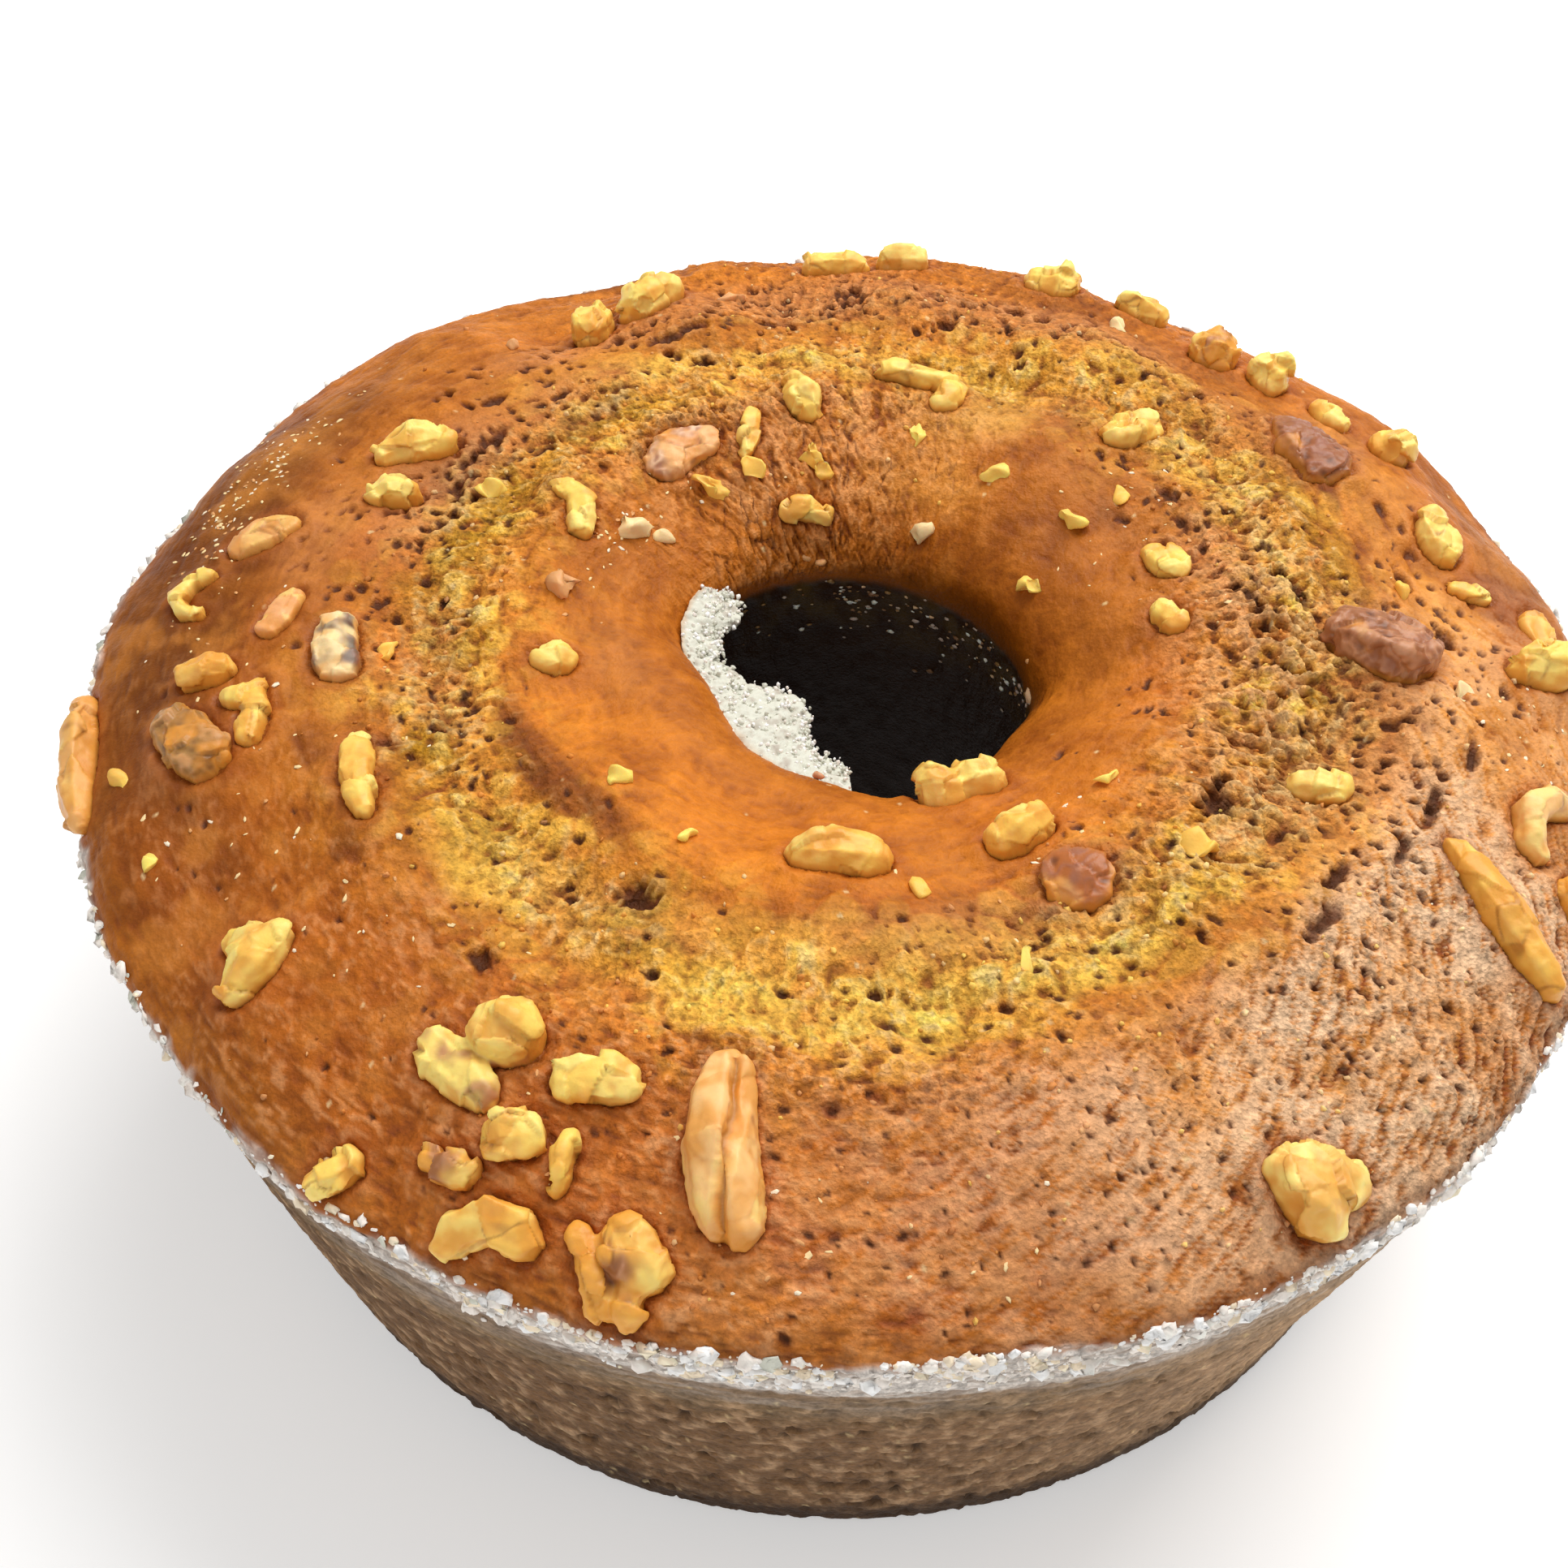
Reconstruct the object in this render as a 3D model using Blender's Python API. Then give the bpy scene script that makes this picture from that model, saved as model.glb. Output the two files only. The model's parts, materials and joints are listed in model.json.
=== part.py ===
"""A walnut ring cake: one baked ring with a risen, cracked top, and the walnut pieces set in its crust.

Metres, +Z up. The origin is the centre of the flat base. The cake is seen from -Y, and a bearing is
the angle round the axis from +X, counter-clockwise from above. The ring is a closed outline turned
round the axis, with relief along its normals. Every walnut piece is a lobed, bent lump that follows
the crust, and the crust is cut from it, so that it sits on the cake with a hair of clearance.
"""

from dataclasses import dataclass
from math import cos, pi, radians, sin

import bpy
import numpy as np

MM = 0.001

# The tin that shaped the ring: a tube tin, 25 cm across its rim
RIM_RADIUS = 125 * MM
RIM_HEIGHT = 88 * MM
BASE_RADIUS = 109.5 * MM
BASE_EDGE = 4 * MM
FOOT_RADIUS = 38.5 * MM
FOOT_EDGE = 2 * MM
LIP_RADIUS = 31.5 * MM
LIP_HEIGHT = 82 * MM

# The risen top
CREST_RADIUS = 76 * MM
CREST_HEIGHT = 102 * MM
OUTER_FULLNESS = 1.75
INNER_FULLNESS = 2.2

# The crack that opened round the top, as its distance from the axis at eight bearings
CRACK_RADII = (75 * MM, 79 * MM, 73 * MM, 68 * MM, 67 * MM, 72 * MM, 77 * MM, 74 * MM)
CRACK_HALF_WIDTH = 9 * MM
CRACK_DEPTH = 1.8 * MM

# Relief: how long and how high each kind of wave is, and its seed
LUMP_SIZE, LUMP_HEIGHT, LUMP_SEED = 34 * MM, 1.3 * MM, 11
CRAG_SIZE, CRAG_HEIGHT, CRAG_SEED = 13 * MM, 0.9 * MM, 12
RIM_WAVE_SIZE, RIM_WAVE_HEIGHT, RIM_WAVE_SEED = 46 * MM, 0.7 * MM, 13
WALL_WAVE_SIZE, WALL_WAVE_HEIGHT, WALL_WAVE_SEED = 60 * MM, 0.45 * MM, 14
WAVES = 14

# Where the relief starts and ends: along the outline past the lip and the rim, and in height on the wall
LIP_FADE = (-6 * MM, 8 * MM)
RIM_FADE = (2 * MM, -8 * MM)
WALL_FADE = (6 * MM, 20 * MM)
RIM_WAVE_REACH = 14 * MM
DIP_SHARE = 0.75

# The outer slope lies lower at the back left: how deep, where, how far round and from which radii out
SAG_DEPTH = 2.8 * MM
SAG_BEARING, SAG_SPREAD = 115, 21
SAG_RADII = (84 * MM, 102 * MM)

# The lip swells into the hole in two places: where, how far round in degrees, and how far in
LIP_SWELLS = ((223, 53, 8.8 * MM), (328, 27, 4 * MM))
SWELL_PAST_LIP, SWELL_REACH = 3 * MM, 12 * MM

# The mesh of the ring
BEARING_STEPS = 74
TUBE_STEPS = 5
INNER_STEPS = 10
OUTER_STEPS = 13
WALL_STEPS = 6

# Walnut pieces and chips: each mesh is so many points round and so many rings along
CLEARANCE = 0.4 * MM
SUNK_SHARE = 0.38
LOBE_LUMPS = 0.13
SQUARENESS = 0.8
BLUNTNESS = 0.75
STRAIGHT = 1e-6
LONG = 13
LONG_LOBE, SHORT_LOBE, CHIP_MESH = (8, 5), (7, 4), (5, 2)
WALNUT_SEED, SEEDS_APART, CHIP_SEED = 100, 10, 900
CHIP_WIDTH_SHARE = 0.6
CHIP_PROUD = 1.1


@dataclass(frozen=True)
class Finish:
    """The plain look of one substance."""

    colour: tuple
    roughness: float


CRUST = Finish((0.40, 0.145, 0.032), 0.62)
FLESH = Finish((0.78, 0.46, 0.10), 0.5)
TOASTED = Finish((0.45, 0.19, 0.05), 0.55)
SKIN = Finish((0.16, 0.06, 0.035), 0.45)


@dataclass(frozen=True)
class Lobe:
    """One rounded lump of a walnut piece, in mm and degrees, in the piece's own frame on the crust.

    length runs along the bent spine, proud is the height above the crust, bend is the angle that
    the spine turns through, taper narrows its far end, and along and across place its middle.
    """

    length: float
    width: float
    proud: float
    bend: float = 0
    taper: float = 0
    along: float = 0
    across: float = 0
    turn: float = 0


@dataclass(frozen=True)
class Walnut:
    """One walnut piece: its bearing, its distance from the axis in mm, and its long axis's heading."""

    bearing: float
    reach: float
    heading: float
    finish: Finish
    lobes: tuple
    dip: float = 0


def piece(bearing, reach, heading, finish, *lobes, dip=0):
    return Walnut(bearing, reach, heading, finish, tuple(Lobe(*row) for row in lobes), dip)


# Lobe rows: length, width, proud, bend, taper, along, across, turn
WALNUTS = {
    "back_edge": (
        piece(115.5, 99, 45, FLESH, (15, 8, 6.4, 30, 0.2)),
        piece(123.5, 97.5, 85, FLESH, (9.5, 8, 7.3)),
        piece(94, 108, 6, FLESH, (15, 7, 4.5, 20)),
        piece(87, 110.5, 0, FLESH, (11, 7, 5)),
        piece(71, 110.5, 160, FLESH, (11.5, 7, 4.5), (5, 3.5, 6, 0, 0.4, -2, 0, 90)),
        piece(61.5, 112.5, 150, FLESH, (11, 6, 5.5)),
        piece(51.5, 107, 145, TOASTED, (10, 8, 5.5)),
        piece(45.5, 109, 135, FLESH, (8.5, 7, 6.5, 0, 0.3)),
        piece(38, 111, 130, FLESH, (10, 5, 3, 0, 0.2)),
        piece(31, 113, 120, FLESH, (9, 6, 6, 0, 0.3)),
    ),
    "back_crest": (
        piece(81.5, 67.5, 172, FLESH, (18.5, 5.5, 4.5, -30), (9, 5.5, 4, 0, 0.2, -6, 4, 75)),
        piece(101.5, 59.5, 115, FLESH, (13, 6.5, 5, 0, 0.3)),
        piece(48, 73.5, 35, FLESH, (14, 8, 4.5, 25)),
        piece(33, 96, 110, SKIN, (21, 13, 3, 0, 0.2)),
    ),
    "inner_back": (
        piece(127, 53.5, 39, SKIN, (16, 9, 3, 0, 0.3)),
        piece(113, 52.5, 85, FLESH, (12, 4.5, 3)),
        piece(104.5, 37, 5, FLESH, (10.5, 4.5, 3.5, 35)),
    ),
    "left_crest": (
        piece(154.5, 87.5, 18, FLESH, (16, 6, 5, 50)),
        piece(163, 84, 14, FLESH, (10, 6, 5.2, 30)),
        piece(155, 53, 103, FLESH, (11.5, 5.5, 3, 0, 0.25), (10, 3.6, 2.5, 0, 0, 4.5, 1, 55)),
        piece(194, 49, 175, FLESH, (7.5, 5.5, 2.8)),
        piece(190.5, 83, 100, SKIN, (14, 9, 3)),
        piece(210.7, 83.6, 106, FLESH, (20, 5.4, 3.5, 15)),
    ),
    "left_edge": (
        piece(180.5, 108.8, 90, FLESH, (17, 3.4, 3, 215)),
        piece(184.5, 92.5, 70, TOASTED, (12.5, 5.5, 2, 0, 0.3)),
        piece(191.5, 103.5, 15, FLESH, (10, 6, 4.5)),
        piece(197.5, 96, 95, FLESH, (15, 4.5, 3, 0, 0.3), (7.5, 4.5, 2.5, 0, 0.3, 2.5, 3, 80)),
        piece(199.5, 106, 130, SKIN, (17, 9.5, 4)),
        piece(172.5, 101.5, 38, TOASTED, (14.5, 7.5, 1.8, 15)),
        piece(195.5, 124, 105, TOASTED, (30, 5, 5, 10)),
    ),
    "front_left": (
        piece(222.7, 110, 58, FLESH, (15, 6.5, 4.5), (10, 6, 4, 0, 0, 2, 3.5, 105)),
        piece(243, 100.5, 155, FLESH, (11, 9.5, 6.5, 0, 0, -2.5, -3.5), (16, 7.5, 4, 0, 0, 1.5, 3, -20)),
        piece(252.5, 97.8, 5, FLESH, (13, 7, 4.5, 30)),
        piece(248.8, 108.3, 12, FLESH, (8.8, 7.5, 5)),
        piece(252.7, 109, 81, FLESH, (9, 3.2, 3.5)),
        piece(245.5, 114.6, 165, TOASTED, (10, 5, 3)),
        piece(250, 120.4, 0, FLESH, (17, 6.8, 5, 155)),
        piece(238.5, 122, 30, FLESH, (8.5, 6.5, 3.5)),
        piece(
            257.7, 117.6, 128, FLESH,
            (12, 8, 4.5, 0, 0, -1.5, -2.5),
            (14, 4.5, 3.5, -20, 0, 0, 3, -15),
            (9, 4.5, 3.5, 0, 0, -5.5, 1, -45),
        ),
    ),
    "front": (
        piece(263.5, 101.5, 98, FLESH, (27, 9.5, 6.5, 30)),
        piece(303.5, 117.4, 110, FLESH, (14, 10, 7), (10, 8, 5, 0, 0, 0, -4, 80), dip=1.5),
    ),
    "hole": (
        piece(270.5, 51.5, 0, FLESH, (16.5, 8, 5, 15)),
        piece(301, 37.3, 20, FLESH, (9, 6.5, 7, 0, 0.1, -3), (9, 5.5, 5.5, 0, 0.2, 3.5, 0.5)),
        piece(302.5, 51, 40, FLESH, (12, 7.5, 4.5)),
        piece(304, 63, 150, TOASTED, (12, 10, 2.5)),
    ),
    "right_crest": (
        piece(20.5, 56.5, 120, FLESH, (11, 6.5, 3.2)),
        piece(5.5, 53, 115, FLESH, (8.5, 5.5, 2.8)),
        piece(0.5, 86.5, 150, SKIN, (19, 15, 7.5, 0, 0.15), dip=1),
        piece(337.5, 79, 172, FLESH, (10, 6.5, 4.5)),
    ),
    "right_edge": (
        piece(18, 107, 115, FLESH, (12, 7.5, 3.5)),
        piece(11.5, 108.5, 165, FLESH, (9, 4.5, 2.5)),
        piece(7.2, 117.5, 95, TOASTED, (11, 7, 2)),
        piece(0.6, 113.2, 8, FLESH, (12.5, 7, 6)),
        piece(343, 112.5, 60, FLESH, (20, 5.5, 4, 210)),
        piece(332.8, 110.3, 122, FLESH, (30, 6.5, 4.5, 35)),
        piece(338, 119.4, 100, TOASTED, (9, 4, 3)),
    ),
}

# Chips: bearing, distance from the axis and length in mm, heading
CHIPS = (
    (11, 95, 4.5, 100),
    (32, 37, 5.5, 120),
    (38.5, 59, 4, 50),
    (40, 49, 5, 110),
    (60, 48.5, 4.5, 140),
    (62, 103, 4.5, 60),
    (70.5, 36, 5, 160),
    (79.5, 53.5, 5.5, 170),
    (100, 45, 7, 20),
    (106.5, 97.5, 5, 100),
    (116, 45.5, 5, 40),
    (125, 45, 7, 30),
    (132, 102, 4, 130),
    (144, 41.5, 4, 60),
    (149, 45.5, 6.5, 70),
    (155.5, 70.5, 6, 60),
    (175, 49, 6.5, 75),
    (190.5, 75.5, 5, 100),
    (200, 117.5, 4, 110),
    (209, 116, 4, 40),
    (229, 52, 5, 140),
    (245.5, 54.5, 4, 0),
    (282.5, 56.5, 4.5, 0),
    (292, 73.5, 4, 20),
    (319, 70.5, 6, 45),
    (322, 51.5, 4, 50),
    (356, 99, 4.5, 80),
)


def ease(start, end, value):
    """0 below start, 1 above end, and a smooth S between."""
    share = np.clip((value - start) / (end - start), 0, 1)
    return share * share * (3 - 2 * share)


def wave_noise(points, size, seed):
    """Smooth noise of about -1 to 1: a sum of plane waves of about that length in seeded directions."""
    rng = np.random.default_rng(seed)
    directions = rng.normal(size=(WAVES, 3))
    directions /= np.linalg.norm(directions, axis=1, keepdims=True)
    lengths = size * rng.uniform(0.75, 1.6, WAVES)
    phases = rng.uniform(0, 2 * pi, WAVES)
    angles = points @ (directions * 2 * pi / lengths[:, None]).T + phases
    return np.sin(angles).sum(axis=-1) / np.sqrt(WAVES)


def quarter(centre, radii, start, end, fullness=2, steps=40):
    """A quarter of a superellipse as points (distance from the axis, height)."""
    turn = np.linspace(start, end, steps)
    across = np.sign(np.cos(turn)) * np.abs(np.cos(turn)) ** (2 / fullness)
    up = np.sign(np.sin(turn)) * np.abs(np.sin(turn)) ** (2 / fullness)
    return np.stack([centre[0] + radii[0] * across, centre[1] + radii[1] * up], axis=1)


def ring_outline():
    """The outline from the foot of the hole over the crust to the base, with its lip, crest and rim."""
    foot = quarter((FOOT_RADIUS + FOOT_EDGE, FOOT_EDGE), (FOOT_EDGE,) * 2, 1.5 * pi, pi, steps=6)
    inner_rise = CREST_HEIGHT - LIP_HEIGHT
    inner_run = CREST_RADIUS - LIP_RADIUS
    inner = quarter((CREST_RADIUS, LIP_HEIGHT), (inner_run, inner_rise), pi, pi / 2, INNER_FULLNESS)
    outer_rise = CREST_HEIGHT - RIM_HEIGHT
    outer_run = RIM_RADIUS - CREST_RADIUS
    outer = quarter((CREST_RADIUS, RIM_HEIGHT), (outer_run, outer_rise), pi / 2, 0, OUTER_FULLNESS)
    edge = quarter((BASE_RADIUS - BASE_EDGE, BASE_EDGE), (BASE_EDGE,) * 2, 0, -pi / 2, steps=8)
    points = np.concatenate([foot, inner, outer[1:], edge])
    steps = np.linalg.norm(np.diff(points, axis=0), axis=1)
    travel = np.concatenate([[0], np.cumsum(steps)])
    lip = travel[len(foot)]
    crest = travel[len(foot) + len(inner) - 1]
    rim = travel[len(foot) + len(inner) + len(outer) - 2]
    return points, travel, lip, crest, rim


OUTLINE, TRAVEL, LIP, CREST, RIM = ring_outline()
END = TRAVEL[-1]


def on_outline(travel):
    """Distance from the axis, height and outward normal where the outline has been followed this far."""
    slopes = np.gradient(OUTLINE, TRAVEL, axis=0)
    radius, height, run, rise = (
        np.interp(travel, TRAVEL, column) for column in (*OUTLINE.T, *slopes.T)
    )
    size = np.hypot(run, rise)
    return radius, height, -rise / size, run / size


def crack_radius(bearing):
    """The crack's distance from the axis: its eight values, joined by cosine steps round the ring."""
    count = len(CRACK_RADII)
    place = np.mod(bearing, 2 * pi) / (2 * pi) * count
    first = place.astype(int) % count
    share = 0.5 - 0.5 * np.cos(pi * (place - np.floor(place)))
    values = np.array(CRACK_RADII)
    return values[first] * (1 - share) + values[(first + 1) % count] * share


def relief(travel, bearing):
    """How far the surface stands out along its normal: lumps and crags on the crust, waves on the wall."""
    radius, height, _, _ = on_outline(travel)
    points = np.stack([radius * np.cos(bearing), radius * np.sin(bearing), height], axis=-1)
    past_lip, past_rim = travel - LIP, travel - RIM
    on_crust = ease(*LIP_FADE, past_lip) * ease(*RIM_FADE, past_rim)
    in_crack = np.exp(-(((radius - crack_radius(bearing)) / CRACK_HALF_WIDTH) ** 2)) * on_crust
    near_rim = np.exp(-((past_rim / RIM_WAVE_REACH) ** 2))
    on_wall = ease(*WALL_FADE, height) * (1 - on_crust)
    out = on_crust * LUMP_HEIGHT * wave_noise(points, LUMP_SIZE, LUMP_SEED)
    out += in_crack * (CRAG_HEIGHT * wave_noise(points, CRAG_SIZE, CRAG_SEED) - CRACK_DEPTH)
    out += near_rim * RIM_WAVE_HEIGHT * wave_noise(points, RIM_WAVE_SIZE, RIM_WAVE_SEED)
    out += on_wall * WALL_WAVE_HEIGHT * wave_noise(points, WALL_WAVE_SIZE, WALL_WAVE_SEED)
    sagging = np.exp(-((turn_from(SAG_BEARING, bearing) / radians(SAG_SPREAD)) ** 2))
    out -= on_crust * ease(*SAG_RADII, radius) * SAG_DEPTH * sagging
    near_lip = np.exp(-(((past_lip - SWELL_PAST_LIP) / SWELL_REACH) ** 2))
    for middle, spread, height in LIP_SWELLS:
        out += near_lip * height * np.exp(-((turn_from(middle, bearing) / radians(spread)) ** 4))
    for walnut in all_walnuts():
        if walnut.dip:
            apart = np.hypot(radius - walnut.reach * MM, turn_from(walnut.bearing, bearing) * radius)
            reach = DIP_SHARE * walnut.lobes[0].length * MM
            out -= on_crust * walnut.dip * MM * np.exp(-((apart / reach) ** 2))
    return out


def turn_from(start, bearing):
    """The shorter turn, in radians, from a bearing in degrees to bearings in radians."""
    return np.mod(bearing - radians(start) + pi, 2 * pi) - pi


def surface(travel, bearing, out):
    """Points at a height out above the surface, relief included."""
    radius, height, across, up = on_outline(travel)
    out = out + relief(travel, bearing)
    radius = radius + out * across
    return np.stack([radius * np.cos(bearing), radius * np.sin(bearing), height + out * up], axis=-1)


def all_walnuts():
    return [walnut for zone in WALNUTS.values() for walnut in zone]


def grid_faces(rows, columns, wrap_rows):
    """Quads of a grid whose columns close on themselves, and whose rows do if wrap_rows."""
    row, column = np.meshgrid(np.arange(rows if wrap_rows else rows - 1), np.arange(columns))
    row, column = row.ravel(), column.ravel()
    below, beside = (row + 1) % rows, (column + 1) % columns
    corners = ((row, column), (below, column), (below, beside), (row, beside))
    return [tuple(quad) for quad in np.stack([r * columns + c for r, c in corners], axis=1)]


def new_object(name, points, faces, finish, collection=None):
    mesh = bpy.data.meshes.new(name)
    mesh.from_pydata([tuple(point) for point in points], [], faces)
    mesh.materials.append(material(name, finish))
    mesh.shade_smooth()
    mesh.set_sharp_from_angle(angle=radians(60))
    made = bpy.data.objects.new(name, mesh)
    (collection or bpy.context.scene.collection).objects.link(made)
    return made


def material(name, finish):
    made = bpy.data.materials.new(name)
    made.use_nodes = True
    shader = made.node_tree.nodes["Principled BSDF"]
    shader.inputs["Base Color"].default_value = (*finish.colour, 1)
    shader.inputs["Roughness"].default_value = finish.roughness
    shader.inputs["Metallic"].default_value = 0
    return made


def boolean(target, operation, solver, tool):
    """Joins or cuts with an object or a collection. EXACT loses some pieces of two lobes, MANIFOLD none."""
    cut = target.modifiers.new(operation.lower(), "BOOLEAN")
    cut.operation = operation
    cut.solver = solver
    if isinstance(tool, bpy.types.Collection):
        cut.operand_type = "COLLECTION"
        cut.collection = tool
    else:
        cut.object = tool


def apply_modifiers(target):
    graph = bpy.context.evaluated_depsgraph_get()
    mesh = bpy.data.meshes.new_from_object(target.evaluated_get(graph))
    target.modifiers.clear()
    target.data = mesh


def hide(helper):
    helper.hide_render = True
    helper.display_type = "WIRE"


def ring_stations():
    """How far the outline has been followed at each row of the ring's mesh, corners kept."""
    return np.concatenate([
        [0, 0.5 * FOOT_EDGE * pi / 2],
        np.linspace(FOOT_EDGE * pi / 2, LIP, TUBE_STEPS, endpoint=False),
        np.linspace(LIP, CREST, INNER_STEPS, endpoint=False),
        np.linspace(CREST, RIM, OUTER_STEPS, endpoint=False),
        np.linspace(RIM, END - BASE_EDGE * pi / 2, WALL_STEPS, endpoint=False),
        END - BASE_EDGE * pi / 2 * np.array([1, 0.5, 0]),
    ])


def build_ring():
    """The ring's closed mesh, and a quad band across its flat base between the last row and the first."""
    travel = ring_stations()
    bearings = np.arange(BEARING_STEPS) * 2 * pi / BEARING_STEPS
    travel, bearing = np.meshgrid(travel, bearings, indexing="ij")
    rows = surface(travel, bearing, 0)
    rows[0, :, 2] = rows[-1, :, 2] = 0
    middle = (rows[0] + rows[-1]) / 2
    rows = np.concatenate([rows, middle[None]])
    faces = grid_faces(len(rows), BEARING_STEPS, wrap_rows=True)
    return new_object("cake", rows.reshape(-1, 3), faces, CRUST)


def rounded(turn):
    """Cosine and sine of a turn, squared off a little, for a cross-section between round and square."""
    return tuple(np.sign(wave) * np.abs(wave) ** SQUARENESS for wave in (np.cos(turn), np.sin(turn)))


def lobe_points(lobe, seed, around, rings):
    """Points of a lobe as heading, side and height on the crust, from one pole to the other.

    The spine is an arc, the half-sizes fall to nothing at both poles by a power of the sine, the
    cross-section is a rounded square, and seeded noise makes it lumpy.
    """
    polar = np.linspace(0, pi, rings + 2)[:, None]
    turn = -np.arange(around)[None, :] * 2 * pi / around
    span = -np.cos(polar)
    swell = np.sin(polar) ** BLUNTNESS * (1 - lobe.taper * span)
    height = lobe.proud * MM / (1 - SUNK_SHARE)
    across, up = rounded(turn)
    side = across * swell * lobe.width * MM / 2
    rise = up * swell * height / 2
    bend = radians(lobe.bend) or STRAIGHT
    radius = lobe.length * MM / bend
    heading = span * bend / 2
    middle = (1 + cos(bend / 2)) / 2
    spine = np.stack([radius * np.sin(heading), radius * (np.cos(heading) - middle), 0 * heading], axis=-1)
    reach = np.stack([side * np.sin(heading), side * np.cos(heading), rise + 0 * side], axis=-1)
    bumps = 1 + LOBE_LUMPS * wave_noise(spine + reach, lobe.width * MM, seed)
    points = spine + reach * bumps[..., None]
    points[..., 2] += lobe.proud * MM - height / 2
    return place_lobe(points, lobe)


def place_lobe(points, lobe):
    """Turns and moves a lobe's points in its piece's frame."""
    angle = radians(lobe.turn)
    along = points[..., 0] * cos(angle) - points[..., 1] * sin(angle) + lobe.along * MM
    across = points[..., 0] * sin(angle) + points[..., 1] * cos(angle) + lobe.across * MM
    return np.stack([along, across, points[..., 2]], axis=-1)


def drape(walnut, points):
    """Lays points of a piece's frame on the crust: sideways is measured along it, height above it."""
    travel = np.interp(walnut.reach * MM, OUTLINE_RADII, OUTLINE_TRAVELS)
    angle = radians(walnut.heading - walnut.bearing)
    outward = points[..., 0] * cos(angle) - points[..., 1] * sin(angle)
    sideways = points[..., 0] * sin(angle) + points[..., 1] * cos(angle)
    bearing = radians(walnut.bearing) + sideways / (walnut.reach * MM)
    return surface(travel + outward, bearing, points[..., 2])


ON_TOP = (TRAVEL >= LIP) & (TRAVEL <= RIM)
OUTLINE_RADII, OUTLINE_TRAVELS = OUTLINE[ON_TOP, 0], TRAVEL[ON_TOP]


def lobe_object(name, walnut, lobe, seed, mesh_steps, collection=None):
    """A lobe's closed mesh: a grid of rings between two poles, each of which is one point."""
    around, rings = mesh_steps
    points = drape(walnut, lobe_points(lobe, seed, around, rings))
    poles = points[0, 0], points[-1, 0]
    inner = points[1:-1].reshape(-1, 3)
    first_pole, last_pole = len(inner), len(inner) + 1
    last_ring = (rings - 1) * around
    faces = grid_faces(rings, around, wrap_rows=False)
    for column in range(around):
        beside = (column + 1) % around
        faces.append((first_pole, column, beside))
        faces.append((last_pole, last_ring + beside, last_ring + column))
    return new_object(name, np.concatenate([inner, poles]), faces, walnut.finish, collection)


def build_walnut(name, walnut, seed, crust_tool):
    """A walnut piece: its lobes joined, and the raised crust cut from them."""
    first, *others = walnut.lobes
    made = lobe_object(name, walnut, first, seed, LONG_LOBE if first.length > LONG else SHORT_LOBE)
    for index, lobe in enumerate(others, 1):
        extra = lobe_object(f"{name}_lobe_{index}", walnut, lobe, seed + index, SHORT_LOBE)
        hide(extra)
        boolean(made, "UNION", "MANIFOLD", extra)
    boolean(made, "DIFFERENCE", "MANIFOLD" if others else "EXACT", crust_tool)
    return made


def raised_crust(ring):
    """A hidden copy of the ring, raised by the clearance, that shapes the underside of each piece."""
    tool = bpy.data.objects.new("raised_crust", ring.data.copy())
    bpy.context.scene.collection.objects.link(tool)
    raised = tool.modifiers.new("clearance", "DISPLACE")
    raised.strength = CLEARANCE
    raised.mid_level = 0
    hide(tool)
    return tool


def fuse_chips(ring):
    """Joins the small chips to the crust in one union, and removes them."""
    chips = bpy.data.collections.new("chips")
    bpy.context.scene.collection.children.link(chips)
    for index, (bearing, reach, length, heading) in enumerate(CHIPS):
        chip = Lobe(length, CHIP_WIDTH_SHARE * length, CHIP_PROUD)
        place = Walnut(bearing, reach, heading, FLESH, (chip,))
        lobe_object(f"chip_{index}", place, chip, CHIP_SEED + index, CHIP_MESH, chips)
    boolean(ring, "UNION", "EXACT", chips)
    apply_modifiers(ring)
    for chip in list(chips.objects):
        bpy.data.objects.remove(chip)
    bpy.data.collections.remove(chips)


def main():
    for old in list(bpy.data.objects):
        bpy.data.objects.remove(old)
    ring = build_ring()
    crust_tool = raised_crust(ring)
    fuse_chips(ring)
    seed = WALNUT_SEED
    for zone, walnuts in WALNUTS.items():
        for number, walnut in enumerate(walnuts, 1):
            build_walnut(f"walnut_{zone}_{number}", walnut, seed, crust_tool)
            seed += SEEDS_APART


main()
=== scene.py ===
"""The looks of a walnut ring cake: its crust, its floury side, its dark hole and its walnut pieces.

Lengths are in millimetres, and become metres when a mesh is made. +Z is up through the hole and the
front is at -Y. A bearing is the angle round the axis from +X, counter-clockwise from above, in degrees.
A travel is the way along the ring's outline, from the foot of the hole over the crust to the base.
"""

import json
import logging
from dataclasses import dataclass
from enum import Enum
from functools import cached_property
from math import ceil, cos, pi, radians, sin

import bmesh
import bpy
import numpy as np
from mathutils import Matrix


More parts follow.
